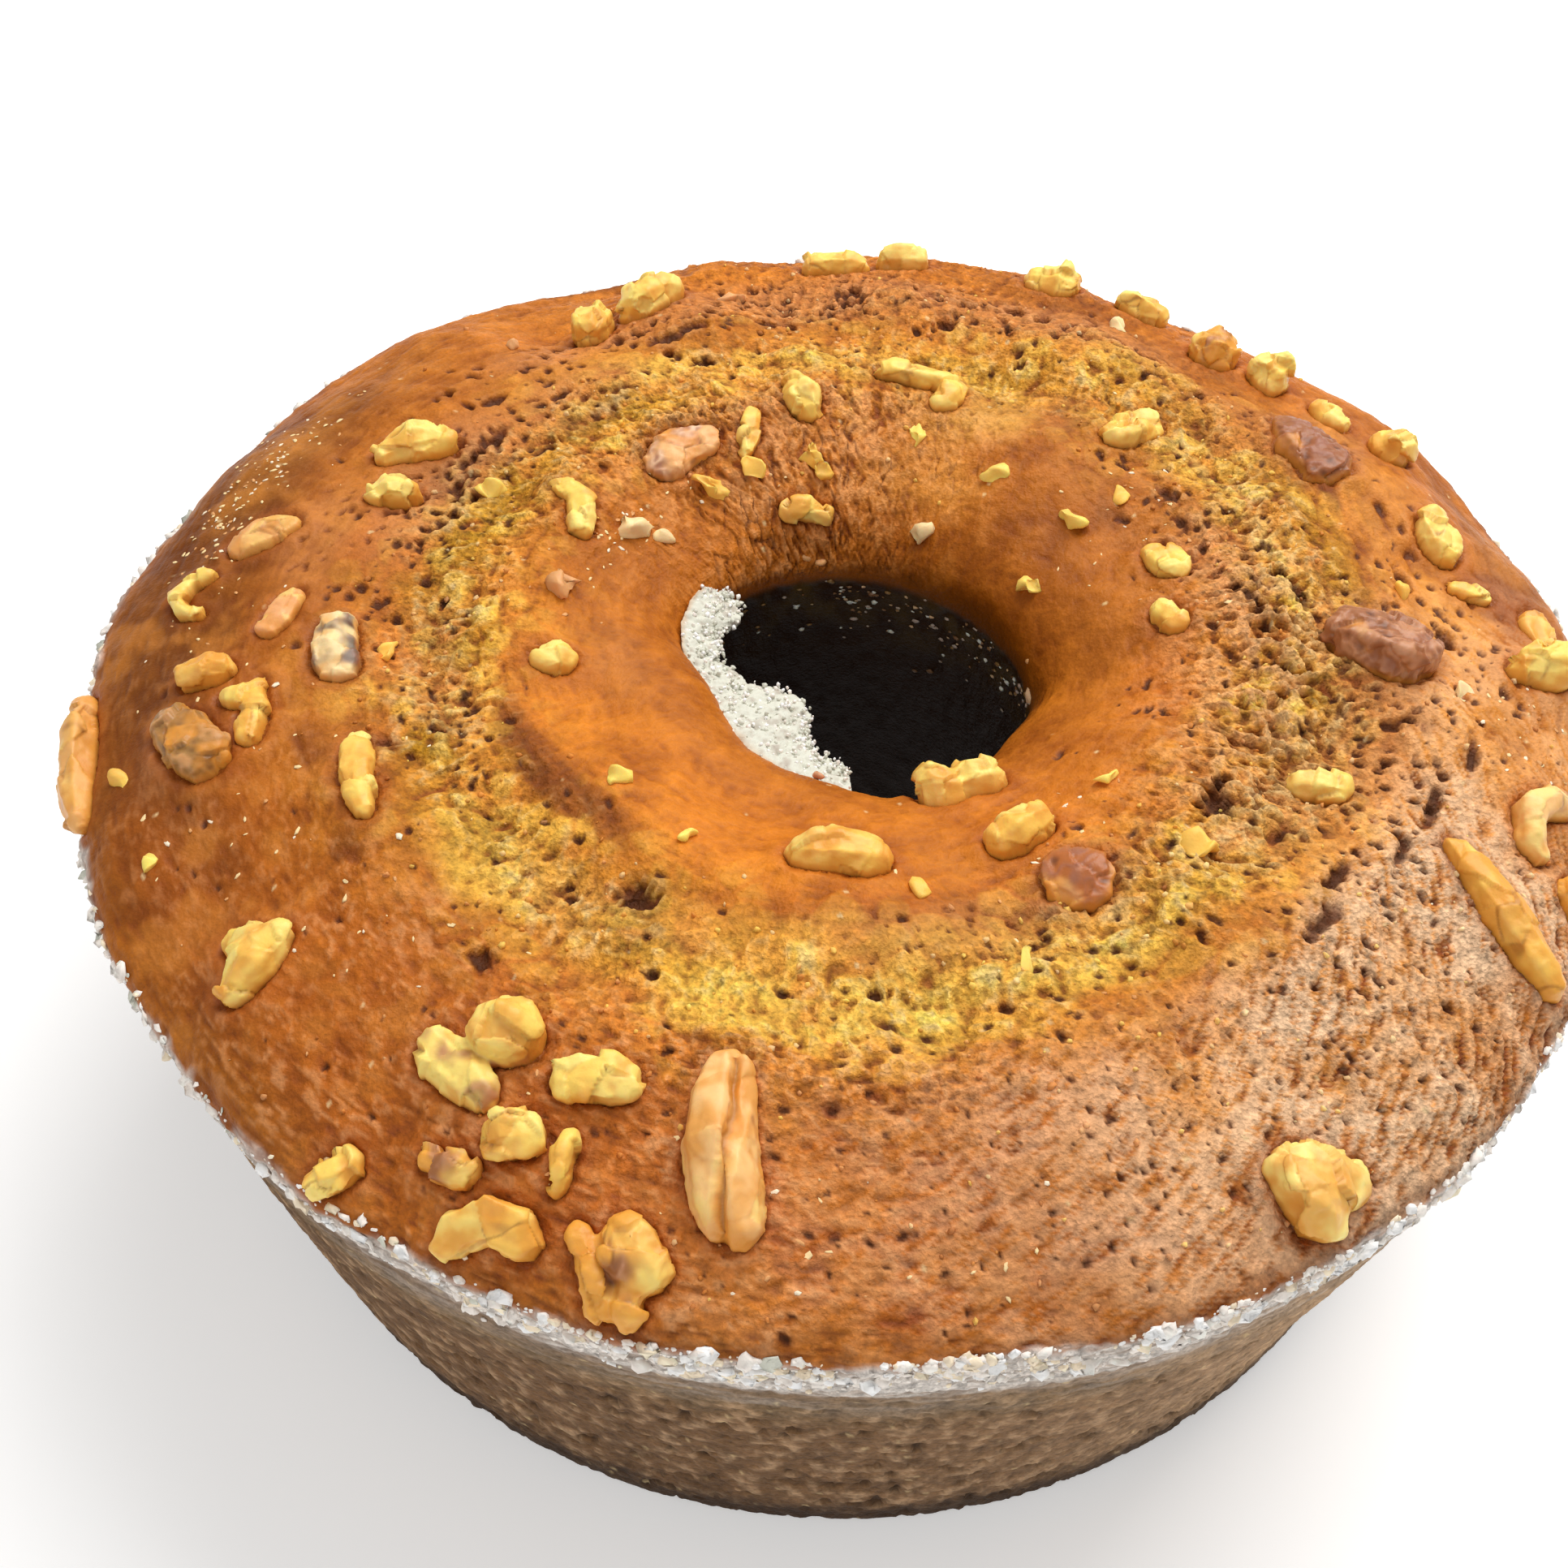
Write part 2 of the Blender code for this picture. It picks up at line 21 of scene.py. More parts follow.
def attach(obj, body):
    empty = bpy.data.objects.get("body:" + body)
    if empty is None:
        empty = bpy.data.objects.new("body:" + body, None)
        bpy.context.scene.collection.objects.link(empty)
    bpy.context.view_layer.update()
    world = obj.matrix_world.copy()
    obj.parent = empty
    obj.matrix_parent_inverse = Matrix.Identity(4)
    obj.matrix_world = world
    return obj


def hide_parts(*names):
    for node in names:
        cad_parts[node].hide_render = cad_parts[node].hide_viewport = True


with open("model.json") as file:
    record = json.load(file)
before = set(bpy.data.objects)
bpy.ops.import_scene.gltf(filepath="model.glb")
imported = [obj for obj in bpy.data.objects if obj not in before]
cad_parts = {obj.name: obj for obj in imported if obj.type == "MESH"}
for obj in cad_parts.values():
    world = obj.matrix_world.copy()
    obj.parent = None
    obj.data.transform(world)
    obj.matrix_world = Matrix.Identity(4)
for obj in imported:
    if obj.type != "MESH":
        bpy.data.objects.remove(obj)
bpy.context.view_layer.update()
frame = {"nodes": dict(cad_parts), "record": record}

Array = np.ndarray
Socket = bpy.types.NodeSocket
MM = 0.001
# Streaks are laid on a cylinder of this radius round the axis, so that they close on themselves
CYLINDER = 76
SHELL_THICKNESS = 3
# The crust's red, green and blue are multiplied by these, as reflected light adds a pale veil to them
WARMTH = (0.92, 0.785, 0.385)
# Off the golden crest they are lower still, by these shares
DEEPER = (0.0, 0.08, 0.27)
# How far the grit's heights change red, green and blue: painted light on its raised parts and painted shade
# in its hollows
GRIT_TINT = (0.8, 1.05, 1.4)
# What the shaded slope at the far side of the hole loses of red, green and blue
FAR_SHADE = (0.46, 0.55, 0.93)
log = logging.getLogger("walnut_cake")


# Numbers and noise


def ease(start: float, end: float, value: Array) -> Array:
    """A smooth S: 0 at start, 1 at end, by the cubic 3s^2 - 2s^3.

    Args:
        start: where the S is 0.
        end: where the S is 1; it may be below start.
        value: the places to evaluate.

    Returns:
        The share from 0 to 1.
    """
    share = np.clip((value - start) / (end - start), 0, 1)
    return share * share * (3 - 2 * share)


def bell(value: Array, width: float) -> Array:
    """1 at 0, falling off both ways as exp(-(value / width)^2)."""
    return np.exp(-((value / width) ** 2))


def turned(start: float, bearing: Array) -> Array:
    """The shorter turn, in radians, from a bearing in degrees to bearings in radians."""
    return np.mod(bearing - radians(start) + pi, 2 * pi) - pi


def lattice_keys(cell: Array, order: Array) -> Array:
    """A seeded number from 0 to 255 for each cell: three look-ups in a shuffled list, one for each axis."""
    keys = order[cell[..., 0] & 255]
    keys = order[(keys + cell[..., 1]) & 255]
    return order[(keys + cell[..., 2]) & 255]


def noise(points: Array, size: float | tuple, seed: int) -> Array:
    """Gradient noise of about -1 to 1.

    Each corner of a cube lattice has a seeded unit vector. The value is the mean of the eight
    corners' dot products with the way to the point, weighted by a quintic ease along each axis.

    Args:
        points: places, with x, y and z in the last axis.
        size: the cubes' side, or their three sides.
        seed: picks the vectors.

    Returns:
        One value for each point.
    """
    rng = np.random.default_rng(seed)
    order = rng.permutation(256)
    vectors = rng.normal(size=(256, 3)).astype(np.float32)
    vectors /= np.linalg.norm(vectors, axis=1, keepdims=True)
    place = (points / np.asarray(size, np.float32)).astype(np.float32)
    cell = np.floor(place).astype(np.int32)
    share = place - cell
    smooth = share**3 * (share * (share * 6 - 15) + 10)
    total = np.zeros(place.shape[:-1], np.float32)
    for corner in np.ndindex(2, 2, 2):
        step = np.array(corner)
        keys = lattice_keys(cell + step, order)
        weight = np.prod(np.where(step, smooth, 1 - smooth), axis=-1)
        total += weight * np.einsum("...i,...i->...", vectors[keys], share - step.astype(np.float32))
    return total * 1.7


def fractal(points: Array, size: float | tuple, seed: int, octaves: int = 3) -> Array:
    """Gradient noise with finer noise added: each octave is half the size and half the height."""
    octave_sizes = [np.asarray(size, np.float32) / 2**octave for octave in range(octaves)]
    layers = [noise(points, part, seed + octave) / 2**octave for octave, part in enumerate(octave_sizes)]
    return np.sum(layers, axis=0) / sum(1 / 2**octave for octave in range(octaves))


def ridges(values: Array) -> Array:
    """Noise folded at 0: narrow crests of 1 where it crosses 0, and hollows down to -1 between them."""
    return np.clip(1 - 3.2 * np.abs(values), -1, 1)


@dataclass(frozen=True)
class Cells:
    """What cell noise knows of each point: the way to its seed point, and how clear of others it is."""

    nearest: Array
    second: Array
    value: Array
    offset: Array

    @property
    def seam(self) -> Array:
        """0 on the seams between cells, growing towards their middles."""
        return self.second - self.nearest


def cells(points: Array, size: float | tuple, seed: int) -> Cells:
    """Cell noise: one seeded point in each cube of a lattice, and each place belongs to the nearest.

    Args:
        points: places, with x, y and z in the last axis.
        size: the cubes' side, or their three sides.
        seed: picks the points.

    Returns:
        Distances in cube sides to the nearest and second nearest, a random value for each cell from
        0 to 1, and the offset from the nearest seed point.
    """
    rng = np.random.default_rng(seed)
    order = rng.permutation(256)
    spots = rng.uniform(0.1, 0.9, (256, 3)).astype(np.float32)
    values = rng.uniform(0, 1, 256).astype(np.float32)
    place = (points / np.asarray(size, np.float32)).astype(np.float32)
    cell = np.floor(place).astype(np.int32)
    share = place - cell
    shape = place.shape[:-1]
    nearest, second = np.full(shape, 9, np.float32), np.full(shape, 9, np.float32)
    value, offset = np.zeros(shape, np.float32), np.zeros(place.shape, np.float32)
    for corner in np.ndindex(3, 3, 3):
        step = np.array(corner) - 1
        keys = lattice_keys(cell + step, order)
        way = share - step.astype(np.float32) - spots[keys]
        distance = np.sqrt(np.einsum("...i,...i->...", way, way))
        closer = distance < nearest
        second = np.where(closer, nearest, np.minimum(second, distance))
        nearest = np.where(closer, distance, nearest)
        value = np.where(closer, values[keys], value)
        offset = np.where(closer[..., None], way, offset)
    return Cells(nearest, second, value, offset)


def soften(values: Array, rows: int, columns: int) -> Array:
    """The mean over a window, on a grid that is closed round its columns.

    Args:
        values: the grid's values.
        rows: how many rows the window reaches each way.
        columns: how many columns it reaches each way.

    Returns:
        The mean round each point.
    """
    wide =np.concatenate([values[:, -columns:], values, values[:, :columns]], axis=1)
    total = np.cumsum(np.pad(wide, ((0, 0), (1, 0))), axis=1, dtype=np.float64)
    width = 2 * columns + 1
    across = (total[:, width:] - total[:, :-width]) / width
    tall = np.pad(across, ((rows, rows), (0, 0)), mode="edge")
    total = np.cumsum(np.pad(tall, ((1, 0), (0, 0))), axis=0)
    depth = 2 * rows + 1
    return ((total[depth:] - total[:-depth]) / depth).astype(np.float32)


# Colours


class Tone(Enum):
    """The cake's colours as red, green and blue from 0 to 255, as each looks in even white light. Some are
    also used as painted light and painted shade, as noted where they stand.
    """

    CARAMEL = (188, 118, 52)
    BROWN = (164, 100, 42)
    CHOCOLATE = (118, 70, 32)
    UMBER = (84, 46, 22)
    MAROON = (96, 42, 20)
    ORANGE = (212, 134, 54)
    GOLDEN = (242, 174, 90)
    BRIGHT = (252, 210, 122)
    OLIVE = (178, 134, 34)
    DARK_OLIVE = (112, 78, 18)
    LIME = (206, 168, 58)
    SALMON = (214, 132, 76)
    ROSY = (206, 140, 90)
    TAN = (222, 162, 104)
    PINK_TAN = (238, 172, 116)
    CREAM = (246, 216, 160)
    PALE = (250, 232, 204)
    MAUVE = (156, 102, 82)
    RED_BROWN = (170, 92, 44)
    SLATE = (84, 74, 48)
    FLOUR = (250, 241, 232)
    SNOW = (255, 253, 250)
    LEDGE = (216, 216, 202)
    DUSTY = (170, 152, 138)
    SIDE = (124, 90, 58)
    SIDE_OLIVE = (134, 104, 62)
    SIDE_TAN = (208, 170, 130)
    SIDE_DARK = (62, 42, 26)
    # Near black for the tube: its dark crust darkened further as painted shade
    HOLE = (48, 28, 14)
    HOLE_OLIVE = (76, 58, 26)
    # Pale pink for painted highlights
    ROSE_HIGHLIGHT = (255, 216, 176)
    ROSE_DARK = (158, 80, 42)
    FLESH = (255, 214, 104)
    FLESH_PALE = (255, 229, 134)
    FLESH_DEEP = (250, 196, 88)
    # Browned flesh, also used as painted shade on a piece's downward sides, in its furrow and at its foot
    FLESH_BROWN_AND_SHADE = (226, 150, 54)
    FLESH_PINK = (250, 198, 130)
    SKIN = (146, 84, 52)
    SKIN_DARK = (88, 50, 34)
    SKIN_PALE = (208, 150, 110)
    SKIN_OLIVE = (158, 114, 62)
    SKIN_SLATE = (84, 72, 76)
    # A dark glaze, also used as painted shade in hollows and creases and where crust and walnut pieces meet
    GLAZE_AND_SHADE = (128, 66, 20)

    @property
    def linear(self) -> Array:
        """The colour in linear light: the power curve of sRGB, undone."""
        share = np.array(self.value, np.float32) / 255
        return np.where(share <= 0.04045, share / 12.92, ((share + 0.055) / 1.055) ** 2.4).astype(np.float32)


def paint(colours: Array, tone: Tone, amount: Array) -> Array:
    """Mixes a tone into colours, by an amount from 0 to 1 at each point."""
    share = np.clip(amount, 0, 1)[..., None]
    return colours * (1 - share) + tone.linear * share


def paint_all(colours: Array, *layers: tuple) -> Array:
    """Mixes in several tones in turn, each by its own amount."""
    for tone, amount in layers:
        colours = paint(colours, tone, amount)
    return colours


def flat(tone: Tone, shape: tuple) -> Array:
    """A field of one tone."""
    return np.broadcast_to(tone.linear, (*shape, 3)).copy()


# The ring's form, as its solid has it


@dataclass(frozen=True)
class Wave:
    """Long waves of relief: about how long and how high they are, and their seed."""

    size: float
    height: float
    seed: int
    count: int = 14

    def at(self, points: Array) -> Array:
        """The sum of plane sine waves in seeded directions, over the root of their count."""
        rng = np.random.default_rng(self.seed)
        directions = rng.normal(size=(self.count, 3))
        directions /= np.linalg.norm(directions, axis=1, keepdims=True)
        lengths = self.size * rng.uniform(0.75, 1.6, self.count)
        phases = rng.uniform(0, 2 * pi, self.count)
        angles = points @ (directions * 2 * pi / lengths[:, None]).T + phases
        return self.height * np.sin(angles).sum(axis=-1) / np.sqrt(self.count)


@dataclass(frozen=True)
class Ring:
    """The cake's ring: a closed outline turned round the axis, with relief along its normals."""

    rim: tuple = (125, 88)
    base_radius: float = 109.5
    base_edge: float = 4
    foot_radius: float = 38.5
    foot_edge: float = 2
    lip: tuple = (31.5, 82)
    crest: tuple = (76, 102)
    outer_fullness: float = 1.75
    inner_fullness: float = 2.2
    crack_radii: tuple = (75, 79, 73, 68, 67, 72, 77, 74)
    crack_half_width: float = 9
    crack_depth: float = 1.8
    lumps: Wave = Wave(34, 1.3, 11)
    crags: Wave = Wave(13, 0.9, 12)
    rim_waves: Wave = Wave(46, 0.7, 13)
    wall_waves: Wave = Wave(60, 0.45, 14)
    rim_wave_reach: float = 14
    sag: tuple = (2.8, 115, 21)
    sag_radii: tuple = (84, 102)
    lip_swells: tuple = ((223, 53, 8.8), (328, 27, 4))
    swell_past_lip: float = 3
    swell_reach: float = 12
    dips: tuple = ((303.5, 117.4, 1.5, 10.5), (0.5, 86.5, 1, 14.25))
    walk_steps: int = 900

    @staticmethod
    def _quarter(
        centre: tuple, radii: tuple, start: float, end: float, fullness: float, steps: int
    ) -> Array:
        """A quarter of a superellipse: both waves of the turn are raised to 2 / fullness."""
        turn = np.linspace(start, end, steps)
        waves = np.stack([np.cos(turn), np.sin(turn)], axis=1)
        return np.array(centre) + np.array(radii) * np.sign(waves) * np.abs(waves) ** (2 / fullness)

    @cached_property
    def _stretches(self) -> tuple:
        """The foot, the inner slope, the outer slope and the base's edge."""
        foot = self._quarter(
            (self.foot_radius + self.foot_edge, self.foot_edge), (self.foot_edge,) * 2, 1.5 * pi, pi, 2, 6
        )
        inner_radii = (self.crest[0] - self.lip[0], self.crest[1] - self.lip[1])
        inner = self._quarter((self.crest[0], self.lip[1]), inner_radii, pi, pi / 2, self.inner_fullness, 40)
        outer_radii = (self.rim[0] - self.crest[0], self.crest[1] - self.rim[1])
        outer = self._quarter((self.crest[0], self.rim[1]), outer_radii, pi / 2, 0, self.outer_fullness, 40)
        edge_middle = (self.base_radius - self.base_edge, self.base_edge)
        edge = self._quarter(edge_middle, (self.base_edge,) * 2, 0, -pi / 2, 2, 8)
        return foot, inner, outer[1:], edge

    @cached_property
    def outline(self) -> Array:
        """The outline's points as distance from the axis and height."""
        return np.concatenate(self._stretches)

    @cached_property
    def travels(self) -> Array:
        """How far along the outline each of its points is."""
        steps = np.linalg.norm(np.diff(self.outline, axis=0), axis=1)
        return np.concatenate([[0], np.cumsum(steps)])

    @cached_property
    def marks(self) -> tuple:
        """The travels of the lip, the crest, the rim and the end."""
        foot, inner, outer, _ = (len(part) for part in self._stretches)
        places = (foot, foot + inner - 1, foot + inner + outer - 1, -1)
        return tuple(float(self.travels[place]) for place in places)

    def on_outline(self, travel: Array) -> tuple:
        """Distance from the axis, height, and the outward normal's two parts, at travels."""
        slopes = np.gradient(self.outline, self.travels, axis=0)
        radius, height, run, rise = (
            np.interp(travel, self.travels, column) for column in (*self.outline.T, *slopes.T)
        )
        size = np.hypot(run, rise)
        return radius, height, -rise / size, run / size

    def travel_at(self, reach: Array) -> Array:
        """The travel on the crust at distances from the axis."""
        lip, _, rim, _ = self.marks
        on_top = (self.travels >= lip) & (self.travels <= rim)
        return np.interp(reach, self.outline[on_top, 0], self.travels[on_top])

    def crack(self, bearing: Array) -> Array:
        """The crack's distance from the axis: eight values joined by cosine steps round the ring."""
        count = len(self.crack_radii)
        place = np.mod(bearing, 2 * pi) / (2 * pi) * count
        first = place.astype(int) % count
        share = 0.5 - 0.5 * np.cos(pi * (place - np.floor(place)))
        values = np.array(self.crack_radii, float)
        return values[first] * (1 - share) + values[(first + 1) % count] * share

    def relief(self, travel: Array, bearing: Array) -> Array:
        """How far the solid's surface stands out along its normal.

        Lumps on the crust, crags and a sunken line along the crack, waves at the rim and down the
        wall, a sagging stretch of the outer slope, two swells of the lip, and hollows under two nuts.

        Args:
            travel: travels along the outline.
            bearing: bearings in radians, of the same shape.

        Returns:
            Heights along the normal.
        """
        lip, _, rim, _ = self.marks
        radius, height, _, _ = self.on_outline(travel)
        points = np.stack([radius * np.cos(bearing), radius * np.sin(bearing), height], axis=-1)
        past_lip, past_rim = travel - lip, travel - rim
        on_crust = ease(-6, 8, past_lip) * ease(2, -8, past_rim)
        in_crack = bell(radius - self.crack(bearing), self.crack_half_width) * on_crust
        out = on_crust * self.lumps.at(points)
        out += in_crack * (self.crags.at(points) - self.crack_depth)
        out += bell(past_rim, self.rim_wave_reach) * self.rim_waves.at(points)
        out += ease(6, 20, height) * (1 - on_crust) * self.wall_waves.at(points)
        depth, middle, spread = self.sag
        out -= (
            on_crust * ease(*self.sag_radii, radius) * depth
            * bell(turned(middle, bearing), radians(spread))
        )
        near_lip = bell(past_lip - self.swell_past_lip, self.swell_reach)
        for middle, spread, rise in self.lip_swells:
            out += near_lip * rise * np.exp(-((turned(middle, bearing) / radians(spread)) ** 4))
        for middle, reach, depth, width in self.dips:
            apart = np.hypot(radius - reach, turned(middle, bearing) * radius)
            out -= on_crust * depth * bell(apart, width)
        return out

    def surface(self, travel: Array, bearing: Array, out: Array | float) -> Array:
        """Points above the solid's surface.

        Args:
            travel: travels along the outline.
            bearing: bearings in radians, of the same shape.
            out: how far above the surface they are.

        Returns:
            The points.
        """
        radius, height, across, up = self.on_outline(travel)
        out = out + self.relief(travel, bearing)
        radius = radius + out * across
        return np.stack([radius * np.cos(bearing), radius * np.sin(bearing), height + out * up], axis=-1)

    def locate(self, points: Array) -> tuple:
        """Where points lie on the ring: the outline is walked in small steps, and each takes the nearest.

        Args:
            points: the points, one to a row.

        Returns:
            Bearings in radians, travels, and the outward normals there.
        """
        bearing = np.arctan2(points[:, 1], points[:, 0])
        steps = np.linspace(0, self.travels[-1], self.walk_steps)
        radius, height, across, up = self.on_outline(steps)
        reach = np.hypot(points[:, 0], points[:, 1])
        away = np.hypot(reach[:, None] - radius, points[:, 2][:, None] - height)
        nearest = away.argmin(axis=1)
        normal = np.stack(
            [across[nearest] * np.cos(bearing), across[nearest] * np.sin(bearing), up[nearest]], axis=1
        )
        return bearing, steps[nearest], normal


# Meshes


def closed_faces(rows: int, columns: int) -> Array:
    """Quads of a grid whose rows and columns both close on themselves."""
    row, column = np.meshgrid(np.arange(rows), np.arange(columns), indexing="ij")
    row, column = row.ravel(), column.ravel()
    below, beside = (row + 1) % rows, (column + 1) % columns
    corners = ((row, column), (below, column), (below, beside), (row, beside))
    return np.stack([r * columns + c for r, c in corners], axis=1)


@dataclass
class Shape:
    """A mesh still in numbers: points, faces, and for each point its colour and roughness."""

    points: Array
    faces: Array
    colours: Array
    rough: Array
    crumb: Array | None = None
    border: Array | None = None

    def to_mesh(self, name: str) -> bpy.types.Mesh:
        """The Blender mesh, in metres, with its attributes and its sharp borders."""
        mesh = bpy.data.meshes.new(name)
        count, corners = self.faces.shape
        mesh.vertices.add(len(self.points))
        mesh.vertices.foreach_set("co", (self.points * MM).astype(np.float32).ravel())
        mesh.loops.add(count * corners)
        mesh.loops.foreach_set("vertex_index", self.faces.astype(np.int32).ravel())
        mesh.polygons.add(count)
        mesh.polygons.foreach_set("loop_start", np.arange(0, count * corners, corners, dtype=np.int32))
        mesh.update(calc_edges=True)
        mesh.shade_smooth()
        tone = mesh.attributes.new("tone", "FLOAT_COLOR", "POINT")
        with_alpha = np.concatenate([np.clip(self.colours, 0, 1), np.ones((len(self.points), 1))], axis=1)
        tone.data.foreach_set("color", with_alpha.astype(np.float32).ravel())
        for attribute, values in (("rough", self.rough), ("crumb", self.crumb)):
            if values is not None:
                stored = mesh.attributes.new(attribute, "FLOAT", "POINT")
                stored.data.foreach_set("value", np.clip(values, 0, 1).astype(np.float32))
        if self.border is not None:
            ends = np.empty(len(mesh.edges) * 2, np.int32)
            mesh.edges.foreach_get("vertices", ends)
            first, last = self.border[ends.reshape(-1, 2)].T
            sharp = mesh.attributes.new("sharp_edge", "BOOLEAN", "EDGE")
            sharp.data.foreach_set("value", (first > 0) & (first == last))
        return mesh


def add_piece(name: str, shape: Shape, material: bpy.types.Material, slot: str, *nodes: str) -> None:
    """Makes a piece of the cake, riding on its one body.

    Args:
        name: the piece's name.
        shape: its mesh in numbers.
        material: its finish.
        slot: the record's material slot; not used.
        nodes: the solids it stands for.
    """
    made = bpy.data.objects.new(name, shape.to_mesh(name))
    bpy.context.scene.collection.objects.link(made)
    made.data.materials.append(material)
    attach(made, "root")
    if nodes:
        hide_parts(*nodes)
    log.info("%s: %d points, %d faces", name, len(shape.points), len(shape.faces))


# Finishes


class Grain:
    """The node group for fine texture: noise and small crumb cells in the piece's own space.

    It gives a tint, which is 1 where nothing changes, and a height. Crumb scales the cells, from a
    skin that is only mottled at 0 to granular crumb at 1.
    """

    def __init__(self) -> None:
        """Builds the group once."""
        self.tree = bpy.data.node_groups.new("fine_grain", "ShaderNodeTree")
        for name in ("Size", "Contrast", "Crumb"):
            self.tree.interface.new_socket(name, in_out="INPUT", socket_type="NodeSocketFloat")
        for name in ("Tint", "Height"):
            self.tree.interface.new_socket(name, in_out="OUTPUT", socket_type="NodeSocketFloat")
        nodes = self.tree.nodes
        given, out = nodes.new("NodeGroupInput"), nodes.new("NodeGroupOutput")
        size, contrast, crumb = (given.outputs[name] for name in ("Size", "Contrast", "Crumb"))
        fine = self._texture("ShaderNodeTexNoise", self._sum("MULTIPLY", size, 1.6), "Fac", 5)
        coarse = self._texture("ShaderNodeTexNoise", self._sum("MULTIPLY", size, 0.45), "Fac", 3)
        small = self._texture("ShaderNodeTexVoronoi", self._sum("MULTIPLY", size, 0.62), "Distance", 1)
        mixed = self._sum("ADD", self._sum("SUBTRACT", fine, 0.5), self._sum("SUBTRACT", coarse, 0.5))
        dents = self._sum("MULTIPLY", self._sum("SUBTRACT", small, 0.42), crumb)
        height = self._sum("SUBTRACT", self._sum("MULTIPLY", mixed, self._sum("ADD", crumb, 0.35)), dents)
        tint = self._sum("ADD", self._sum("MULTIPLY", height, contrast), 1.0)
        self.tree.links.new(tint, out.inputs["Tint"])
        self.tree.links.new(height, out.inputs["Height"])

    def _sum(self, kind: str, first: Socket, second: Socket | float) -> Socket:
        """Adds a sum of two values.

        Args:
            kind: the sum's kind, such as MULTIPLY.
            first: the first value.
            second: the second value, or a plain number.

        Returns:
            The result.
        """
        node = self.tree.nodes.new("ShaderNodeMath")
        node.operation = kind
        self.tree.links.new(first, node.inputs[0])
        if isinstance(second, float | int):
            node.inputs[1].default_value = second
        else:
            self.tree.links.new(second, node.inputs[1])
        return node.outputs[0]

    def _texture(self, kind: str, scale: Socket, output: str, detail: float) -> Socket:
        """Adds a texture in the piece's own space.

        Args:
            kind: the node's type.
            scale: the texture's scale.
            output: the output that is used.
            detail: how many finer layers it has.

        Returns:
            The texture's value.
        """
        place, node = self.tree.nodes.new("ShaderNodeTexCoord"), self.tree.nodes.new(kind)
        node.inputs["Detail"].default_value = detail
        self.tree.links.new(place.outputs["Object"], node.inputs["Vector"])
        self.tree.links.new(scale, node.inputs["Scale"])
        return node.outputs[output]


@dataclass(frozen=True)
class Finish:
    """A surface painted by its own attributes, with fine grain over them.

    grain is the mottling's size, contrast how much it changes the colour, and relief its height.
    specular and soft are the shader's specular level and subsurface weight.
    """

    name: str
    grain: float
    contrast: float
    relief: float
    specular: float
    soft: float = 0

    def build(self, grain: Grain) -> bpy.types.Material:
        """The material: the tone times the grain's tint, the given roughness, and the grain as bump."""
        made = bpy.data.materials.new(self.name)
        made.use_nodes = True
        nodes, links = made.node_tree.nodes, made.node_tree.links
        shader = nodes["Principled BSDF"]
        group = nodes.new("ShaderNodeGroup")
        group.node_tree = grain.tree
        group.inputs["Size"].default_value = 1 / (self.grain * MM)
        group.inputs["Contrast"].default_value = self.contrast
        tone, rough, crumb = (nodes.new("ShaderNodeAttribute") for _ in range(3))
        tone.attribute_name, rough.attribute_name, crumb.attribute_name = "tone", "rough", "crumb"
        links.new(crumb.outputs["Fac"], group.inputs["Crumb"])
        tinted = nodes.new("ShaderNodeMix")
        tinted.data_type, tinted.blend_type = "RGBA", "MULTIPLY"
        tinted.inputs["Factor"].default_value = 1
        bump = nodes.new("ShaderNodeBump")
        bump.inputs["Strength"].default_value = 1
        bump.inputs["Distance"].default_value = self.relief * MM
        links.new(tone.outputs["Color"], tinted.inputs["A"])
        links.new(group.outputs["Tint"], tinted.inputs["B"])
        links.new(tinted.outputs["Result"], shader.inputs["Base Color"])
        links.new(rough.outputs["Fac"], shader.inputs["Roughness"])
        links.new(group.outputs["Height"], bump.inputs["Height"])
        links.new(bump.outputs["Normal"], shader.inputs["Normal"])
        shader.inputs["Specular IOR Level"].default_value = self.specular
        shader.inputs["Subsurface Weight"].default_value = self.soft
        shader.inputs["Subsurface Radius"].default_value = (1, 0.5, 0.25)
        shader.inputs["Subsurface Scale"].default_value = 1 * MM
        return made


# A grid on the ring


@dataclass(frozen=True)
class Patch:
    """A soft-edged place on the crust: bearing, reach, half its width in degrees, half its depth."""

    bearing: float
    reach: float
    turn: float
    depth: float
    amount: float = 1


@dataclass(frozen=True)
class Coat(Patch):
    """A patch of one colour."""

    tone: Tone = Tone.CARAMEL


def coats(tone: Tone, *rows: tuple) -> list:
    """Patches of one tone from rows of bearing, reach, turn, depth and amount."""
    return [Coat(*row, tone=tone) for row in rows]


